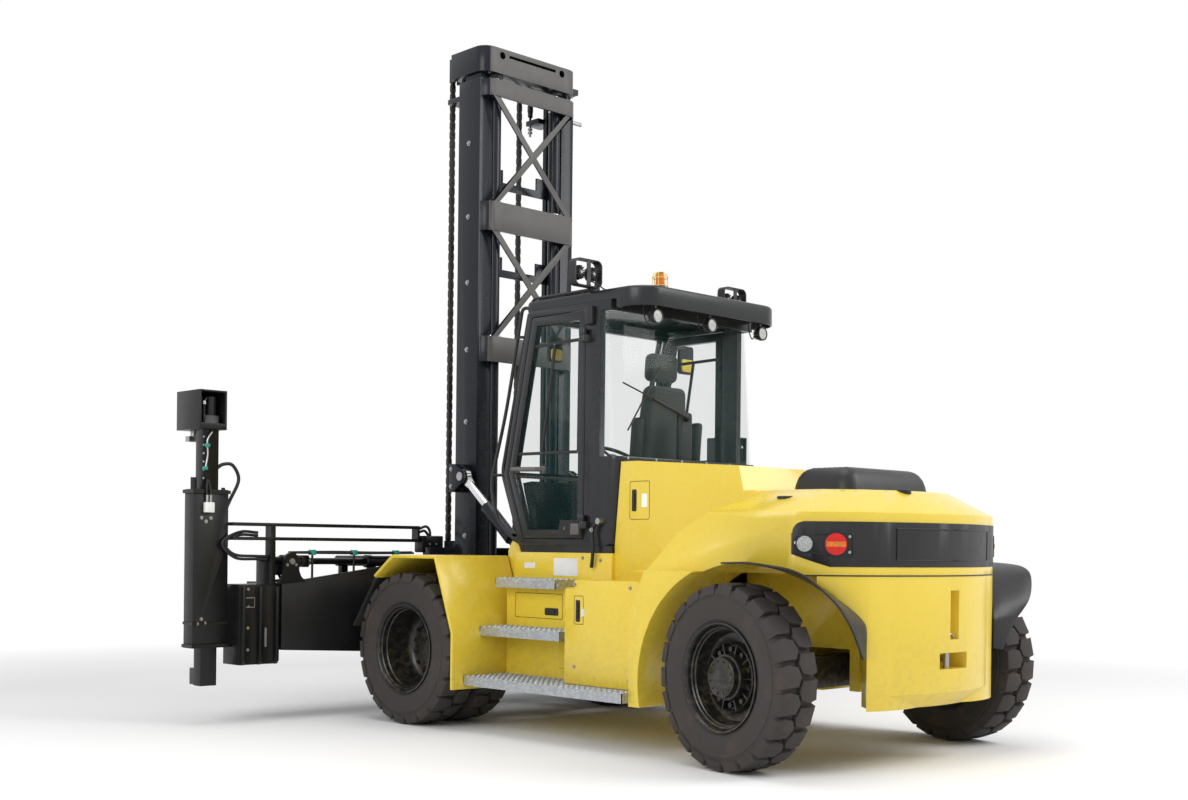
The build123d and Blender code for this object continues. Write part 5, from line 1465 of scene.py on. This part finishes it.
def addMast(shape):
    sheave, bracketFoot = pick(shape, "sheave", "bracketFoot")
    rings, strips, bolts, pipes, fittings = newMeshes(5)
    x, y = shape["cylinder"]
    for side in (1, -1):
        for top in shape["tieTops"]:
            addTurned(rings, [(0.0, 0.048), (0.0, 0.062), (0.018, 0.062), (0.024, 0.056),
                              (0.024, 0.048)], (x, side * y, top), (0, 0, 1), 40)
        addTurned(rings, [(-0.012, 0.036), (-0.012, 0.050), (0.002, 0.050), (0.002, 0.036)],
                  (x, side * y, shape["barrelTop"]), (0, 0, 1), 40)
        for stripX, stripY, low, high in shape["strips"]:
            addBox(strips, (stripX, min(side * stripY, side * (stripY + 0.022)), low),
                   (stripX + 0.004, max(side * stripY, side * (stripY + 0.022)), high))
        for z in shape["railBolts"]:
            addBolt(bolts, (0.310, side * 0.500, z), (0, side, 0), 0.014, 0.014)
        spot = (shape["chainRear"], side * shape["chainY"])
        addRod(bolts, (*spot, bracketFoot - 0.090), (*spot, bracketFoot + 0.020), 0.010, 16)
        for low in (0.020, 0.048):
            addRod(bolts, (*spot, bracketFoot - low - 0.016), (*spot, bracketFoot - low), 0.021, 6)
        addTurned(bolts, [(0.0, 0.0), (0.0, 0.034), (0.010, 0.034), (0.010, 0.0)],
                  (0.200, side * 0.645, 1.860), (0, side, 0), 24)
        addBolt(bolts, (0.310, side * 0.645, 1.920), (0, side, 0), 0.012, 0.012)
        addBolt(bolts, (0.310, side * 0.645, 1.785), (0, side, 0), 0.012, 0.012)
    # rear-facing faces of the ties, braces and head get a lighter grey paint: painted sheen standing in
    # for the light the rear lamp puts on the black paint
    for name in ("outer_mast_finished", "inner_mast_finished"):
        mesh = bpy.data.objects[name].data
        mesh.materials.append(finishes["mast_painted_sheen"])
        for face in mesh.polygons:
            if face.normal.x < -0.8 and face.center.x < shape["sheenRear"]:
                face.material_index = 1
    outward(rings, strips, bolts)
    newPiece("cylinderRings", rings, "mast", "chrome_rod")
    # the pale plate finish on these strips is a painted highlight along the rails
    newPiece("railHighlightStrips", strips, "mast", "blank_plate")
    newPiece("mastBolts", bolts, "mast", "bare_steel")
    for side in (1, -1):
        addTurned(pipes, [(-0.020, 0.036), (-0.020, 0.060), (0.002, 0.060), (0.002, 0.036)],
                  (x, side * y, shape["headFoot"]), (0, 0, 1), 36)
        addTurned(fittings, [(0.0, 0.0), (0.0, 0.024), (0.012, 0.024), (0.012, 0.0)],
                  (sheave[0], side * 0.403, sheave[1]), (0, side, 0), 24)
        addTurned(fittings, [(-0.030, 0.022), (-0.030, 0.060), (-0.024, 0.060), (-0.024, 0.048),
                             (0.024, 0.048), (0.024, 0.060), (0.030, 0.060), (0.030, 0.022)],
                  (sheave[0], side * shape["chainY"], sheave[1]), (0, 1, 0), 40)
    addBox(pipes, (0.270, -0.530, 5.110), (0.350, -0.504, 5.170))
    addBox(pipes, (0.270, -0.640, 5.120), (0.350, -0.530, 5.165))
    for number in range(3):
        px = 0.285 + number * 0.024
        py = -0.560 - number * 0.032
        addPipe(pipes, [(px, py, 5.120), (px, py, 4.960), (px, py + 0.010, 4.890)], 0.009, 10, 0)
        addRod(fittings, (px, py, 5.060), (px, py, 5.100), 0.014, 6)
        addPipe(pipes, [(px, py + 0.010, 4.905), (px, py + 0.016, 4.820), (px - 0.02, py + 0.060, 4.700),
                        (px - 0.02, -0.515, 4.620)], 0.009, 10)
    addRod(fittings, (0.300, -0.700, 4.890), (0.300, -0.545, 4.890), 0.018, 12)
    outward(pipes, fittings)
    newPiece("headPipes", pipes, "inner_mast", "hose_rubber", 40)
    newPiece("headFittings", fittings, "inner_mast", "bare_steel")


addMast(mastShape)
print("mast fittings ready")


# Vent cover: a soft hood with ribs over an opening

ventShape = {
    "middle": (-3.125, 0.0), "foot": 1.6905, "size": (0.490, 0.900), "radius": 0.100, "height": 0.149,
    # share of the height, inset
    "rise": ((0.0, 0.0), (0.30, 0.008), (0.58, 0.022), (0.80, 0.044), (0.93, 0.068), (1.0, 0.098)),
    "ribs": 7, "ribWide": 0.016, "spines": 3, "sink": 0.030,
}


def addVent(shape):
    middle, size, ribs, ribWide, spines = pick(shape, "middle", "size", "ribs", "ribWide", "spines")
    bm = bmesh.new()
    rings = []
    levels = [(shape["foot"] + share * shape["height"], inset) for share, inset in shape["rise"]]
    levels.append((levels[-1][0] - shape["sink"], shape["rise"][-1][1] + 0.006))
    for z, inset in levels:
        loop = roundedLoop(size[0] - 2 * inset, size[1] - 2 * inset, shape["radius"] - inset * 0.55, 8)
        rings.append([bm.verts.new((middle[0] + a, middle[1] + b, z)) for a, b in loop])
    joinRings(bm, rings)
    bm.faces.new(rings[0])
    bm.faces.new(rings[-1])
    top = shape["foot"] + shape["height"]
    inset = shape["rise"][-1][1]
    halfX, halfY = size[0] / 2 - inset - 0.004, size[1] / 2 - inset - 0.004
    for rib in range(ribs):
        x = middle[0] + (rib - (ribs - 1) / 2) * 2 * halfX / ribs
        addRounded(bm, (x - ribWide / 2, -halfY, top - 0.022), (x + ribWide / 2, halfY, top + 0.002), 0,
                   0.005, 2)
    for spine in range(spines):
        y = (spine - (spines - 1) / 2) * 2 * halfY / spines
        addRounded(bm, (middle[0] - halfX, y - 0.010, top - 0.026),
                   (middle[0] + halfX, y + 0.010, top - 0.002), 0, 0.005, 2)
    outward(bm)
    newPiece("ventHood", bm, "truck", "black_plastic", 45, replaced=("vent_cover",))


addVent(ventShape)


# Spreader: bracket, ram fittings, plates, legs, hoses

spreaderShape = {
    "shift": -0.490, "ramZ": 1.190, "ramX": {1: 0.8525, -1: 1.0875}, "boxRear": {1: 0.751, -1: 0.835},
    "boxIn": 2.420, "eyeAt": 2.320, "eyeX": (0.712, 0.738), "legAt": 2.9265, "sleeveRear": 0.836,
    "sleeve": (0.560, 1.710), "legRear": 0.850,
    # bolts on a sleeve: distance outward from the leg's middle, height
    "sleeveBolts": ((0.076, 1.503), (0.002, 1.503), (0.040, 1.477), (0.100, 0.739), (0.040, 0.741),
                    (0.070, 0.771)),
}


def addSpreader(shape):
    black, steel, green, hose = newMeshes(4)
    for side in (1, -1):
        def at(distance):
            return shape["shift"] + side * distance
        x, z = shape["ramX"][side], shape["ramZ"]
        eye = at(shape["eyeAt"])
        outline = [(eye + side * 0.125, 1.020), (eye + side * 0.085, 1.060), (eye + side * 0.066, 1.120)]
        outline += [(eye + side * 0.066 * cos(a),
                     z + 0.066 * sin(a)) for a in (pi * k / 12 for k in range(13))]
        outline += [(eye - side * 0.066, 1.120), (eye - side * 0.085, 1.075), (eye - side * 0.125, 1.040)]
        if side > 0:
            addPrism(black, outline, "x", *shape["eyeX"])
            addTurned(steel, [(0.0, 0.0), (0.0, 0.024), (0.012, 0.022), (0.012, 0.0)],
                      (shape["eyeX"][0], eye, z), (-1, 0, 0), 28)
            for turn in (215, 325):
                spot = (shape["eyeX"][0], eye + 0.046 * cos(radians(turn)),
                        z + 0.046 * sin(radians(turn)))
                addBolt(steel, spot, (-1, 0, 0), 0.008, 0.009)
        addTurned(black, [(-0.05, 0.0), (-0.05, 0.050), (0.0, 0.050), (0.006, 0.044), (0.006, 0.026),
                          (-0.01, 0.0255)],
                  (x, at(1.560), z), (0, side, 0), 36)
        lineX = x - 0.064
        addPipe(hose, [(lineX, at(1.150), 1.262), (lineX, at(1.500), 1.258), (lineX, at(1.900), 1.262),
                       (lineX, at(2.300), 1.256)], 0.010, 10, 4)
        addPipe(hose, [(lineX - 0.024, at(1.150), 1.256), (lineX - 0.024, at(1.700), 1.252),
                       (lineX - 0.024, at(2.250), 1.254)], 0.008, 10, 4)
        for distance in (1.300, 1.700, 2.080):
            addRounded(green, (lineX - 0.038, min(at(distance), at(distance + 0.040)), 1.238),
                       (lineX + 0.014, max(at(distance), at(distance + 0.040)), 1.278), 0, 0.004, 1)
            addRod(black, (lineX - 0.012, at(distance + 0.020), 1.030 if distance > 1.5 else 1.150),
                   (lineX - 0.012, at(distance + 0.020), 1.242), 0.009, 10)
        boxX = x - 0.105
        low, high = sorted((at(0.860), at(1.075)))
        addRounded(black, (boxX, low, 1.262), (boxX + 0.110, high, 1.398), 0, 0.010, 2)
        addBox(black, (min(boxX + 0.004, 0.722), low + 0.02, 1.190),
               (max(boxX + 0.020, 0.744), high - 0.02, 1.268))
        for step in (0.35, 0.65):
            addBolt(steel, (boxX, low + (high - low) * step, 1.330), (-1, 0, 0), 0.007, 0.007)
        for number, up in enumerate((1.455, 1.420, 1.358)):
            hx = boxX + 0.028 + number * 0.024
            addPipe(hose, [(hx, at(1.084), up), (hx, at(1.020), up + 0.018),
                           (hx, at(0.985), up - 0.010 if up > 1.4 else up), (hx, at(0.975), 1.390)],
                           0.011, 10)
    outward(black, steel, green, hose)
    newPiece("spreaderBrackets", black, "spreader", "spreader_paint", 35)
    newPiece("spreaderBolts", steel, "spreader", "bare_steel")
    newPiece("spreaderClips", green, "spreader", "clip_green")
    newPiece("spreaderHoses", hose, "spreader", "hose_rubber", 45)


def addArm(shape, side, arm, leg, end):
    boxIn, legRear = pick(shape, "boxIn", "legRear")
    black, steel, plate, hose, white = newMeshes(5)

    def at(distance):
        return shape["shift"] + side * distance

    def span(first, second):
        return sorted((at(first), at(second)))

    x, z = shape["ramX"][side], shape["ramZ"]
    face = shape["boxRear"][side]
    low, high = span(boxIn + 0.190, boxIn + 0.285)
    addBox(plate, (face - 0.004, low, 0.850), (face + 0.001, high, 0.925))
    addBox(black, (face - 0.0048, low + 0.006, 0.856), (face, high - 0.006, 0.919))
    low, high = span(boxIn + 0.105, boxIn + 0.122)
    addBox(steel, (face - 0.030, low, 0.560), (face, high, 0.700))
    for distance in (0.245, 0.300):
        for level in (0.540, 0.700, 0.860, 0.985):
            addBolt(steel, (face, at(boxIn + distance), level), (-1, 0, 0), 0.008, 0.008)
    addTurned(black, [(0.0, 0.034), (0.0, 0.048), (0.030, 0.048), (0.030, 0.034)], (x, at(2.300), z),
              (0, side, 0), 32)
    addTurned(black, [(0.0, 0.034), (0.0, 0.046), (0.060, 0.046), (0.060, 0.034)], (x, at(2.250), z),
              (0, side, 0), 32)
    addTurned(steel, [(0.0, 0.026), (0.0, 0.040), (0.014, 0.040), (0.014, 0.026)], (x, at(2.104), z),
              (0, -side, 0), 32)
    low, high = span(2.330, 2.390)
    addRounded(black, (x - 0.040, low, 1.085), (x + 0.010, high, 1.165), 0, 0.006, 2)
    addPipe(hose, [(x - 0.020, at(2.360), 1.095), (x - 0.026, at(2.350), 1.050),
                   (x - 0.026, at(2.440), 1.040), (x - 0.026, at(2.452), 1.022)], 0.010, 10, 5)
    hx = x - 0.050
    for lift in (0.0, 0.022):
        addPipe(hose, [(hx, at(2.560), 1.380 + lift), (hx, at(2.700), 1.384 + lift),
                       (hx, at(2.810 + lift), 1.350), (hx, at(2.820 + lift), 1.290),
                       (hx, at(2.740), 1.236 - lift), (hx, at(2.580), 1.228 - lift),
                       (hx, at(2.480), 1.226 - lift)], 0.011, 10)
    half = 0.140
    legY = at(shape["legAt"])

    def beside(distance):
        return legY + side * distance

    foot, top = shape["sleeve"]
    rear = shape["sleeveRear"]
    for level, tall, grow in ((top - 0.030, 0.026, 0.012), (foot + 0.170, 0.020, 0.006),
                              (foot + 0.004, 0.024, 0.010)):
        outer = [(rear - grow, legY - half - grow), (0.964 + grow, legY - half - grow),
                 (0.964 + grow, legY + half + grow), (rear - grow, legY + half + grow)]
        inner = [(rear + 0.002, legY - half + 0.002), (0.962, legY - half + 0.002),
                 (0.962, legY + half - 0.002), (rear + 0.002, legY + half - 0.002)]
        loops = [[black.verts.new((a, b, h)) for a, b in loop] for h,
                 loop in ((level, outer), (level + tall, outer), (level + tall, inner), (level, inner))]
        joinRings(black, loops, True)
    for out, level in shape["sleeveBolts"]:
        addBolt(steel, (rear, beside(out), level), (-1, 0, 0), 0.009, 0.008)
    addRod(black, (0.880, beside(0.118), top - 0.005), (0.880, beside(0.118), top + 0.085), 0.022, 20)
    addBolt(black, (0.860, beside(-0.110), top - 0.004), (0, 0, 1), 0.016, 0.020)
    block = sorted((beside(0.064), beside(-0.006)))
    addRounded(white, (rear - 0.044, block[0], 1.542), (rear, block[1], 1.616), 0, 0.006, 2)
    for across in (0.044, 0.016):
        addPipe(steel, [(rear - 0.022, beside(across), 1.610), (rear - 0.022, beside(across), 1.668)],
                0.010, 12, 0)
        addPipe(hose, [(rear - 0.022, beside(across), 1.664), (rear - 0.020, beside(across + 0.004),
                1.720),
                       (rear - 0.014, beside(0.036), 1.780)], 0.008, 10, 5)
    inner = beside(-0.150)
    addPipe(hose, [(0.900, inner, 1.560), (0.900, inner - side * 0.040, 1.640),
                   (0.900, inner - side * 0.110, 1.790), (0.900, inner - side * 0.060, 1.895),
                   (0.900, inner + side * 0.020, 1.900), (0.900, beside(-0.074), 1.866)], 0.013, 12)
    addRounded(black, (0.885, min(inner, inner + side * 0.012), 1.530),
               (0.915, max(inner, inner + side * 0.012), 1.570), 0, 0.004, 1)
    outward(black, steel, plate, hose, white)
    newPiece("armFittings" + end, black, arm, "spreader_paint", 35)
    newPiece("armBolts" + end, steel, arm, "bare_steel")
    newPiece("armPlate" + end, plate, arm, "bare_steel")
    newPiece("armHoses" + end, hose, arm, "hose_rubber", 45)
    newPiece("armValve" + end, white, arm, "blank_plate", 35)
    clips, pipe, dark = newMeshes(3)
    front = legRear - 0.010
    addPipe(pipe, [(front, beside(0.050), 1.850), (front, beside(0.030), 1.960),
                   (front, beside(0.034), 2.060), (front - 0.004, beside(0.004), 2.120),
                   (front + 0.02, beside(-0.020), 2.143)], 0.007, 10, 6)
    for level, across in ((1.862, 0.049), (2.028, 0.033)):
        near = sorted((beside(across + 0.018), beside(across - 0.018)))
        addRounded(clips, (front - 0.012, near[0], level - 0.012),
                   (front + 0.010, near[1], level + 0.012), 0, 0.003, 1)
    for level in (1.790, 1.850, 1.910, 1.970, 2.030, 2.090):
        addBolt(pipe, (legRear, beside(0.058), level), (-1, 0, 0), 0.005, 0.005)
    addRod(dark, (0.905, beside(-0.020), 2.235), (0.905, beside(-0.020), 2.385), 0.045, 28)
    addRod(dark, (0.842, beside(0.062), 2.200), (0.842, beside(0.062), 2.330), 0.010, 12)
    addPipe(dark, [(0.842, beside(0.062), 2.330), (0.850, beside(0.040), 2.372),
                   (0.895, beside(0.000), 2.380)], 0.009, 10, 5)
    addRod(pipe, (0.840, beside(0.062), 2.322), (0.844, beside(0.062), 2.346), 0.015, 12)
    outward(clips, pipe, dark)
    newPiece("legClips" + end, clips, leg, "clip_green")
    newPiece("legPipe" + end, pipe, leg, "bare_steel")
    newPiece("legHead" + end, dark, leg, "spreader_paint", 35)


addSpreader(spreaderShape)
addArm(spreaderShape, 1, "arm_left", "leg_left", "Left")
addArm(spreaderShape, -1, "arm_right", "leg_right", "Right")
print("spreader fittings ready")
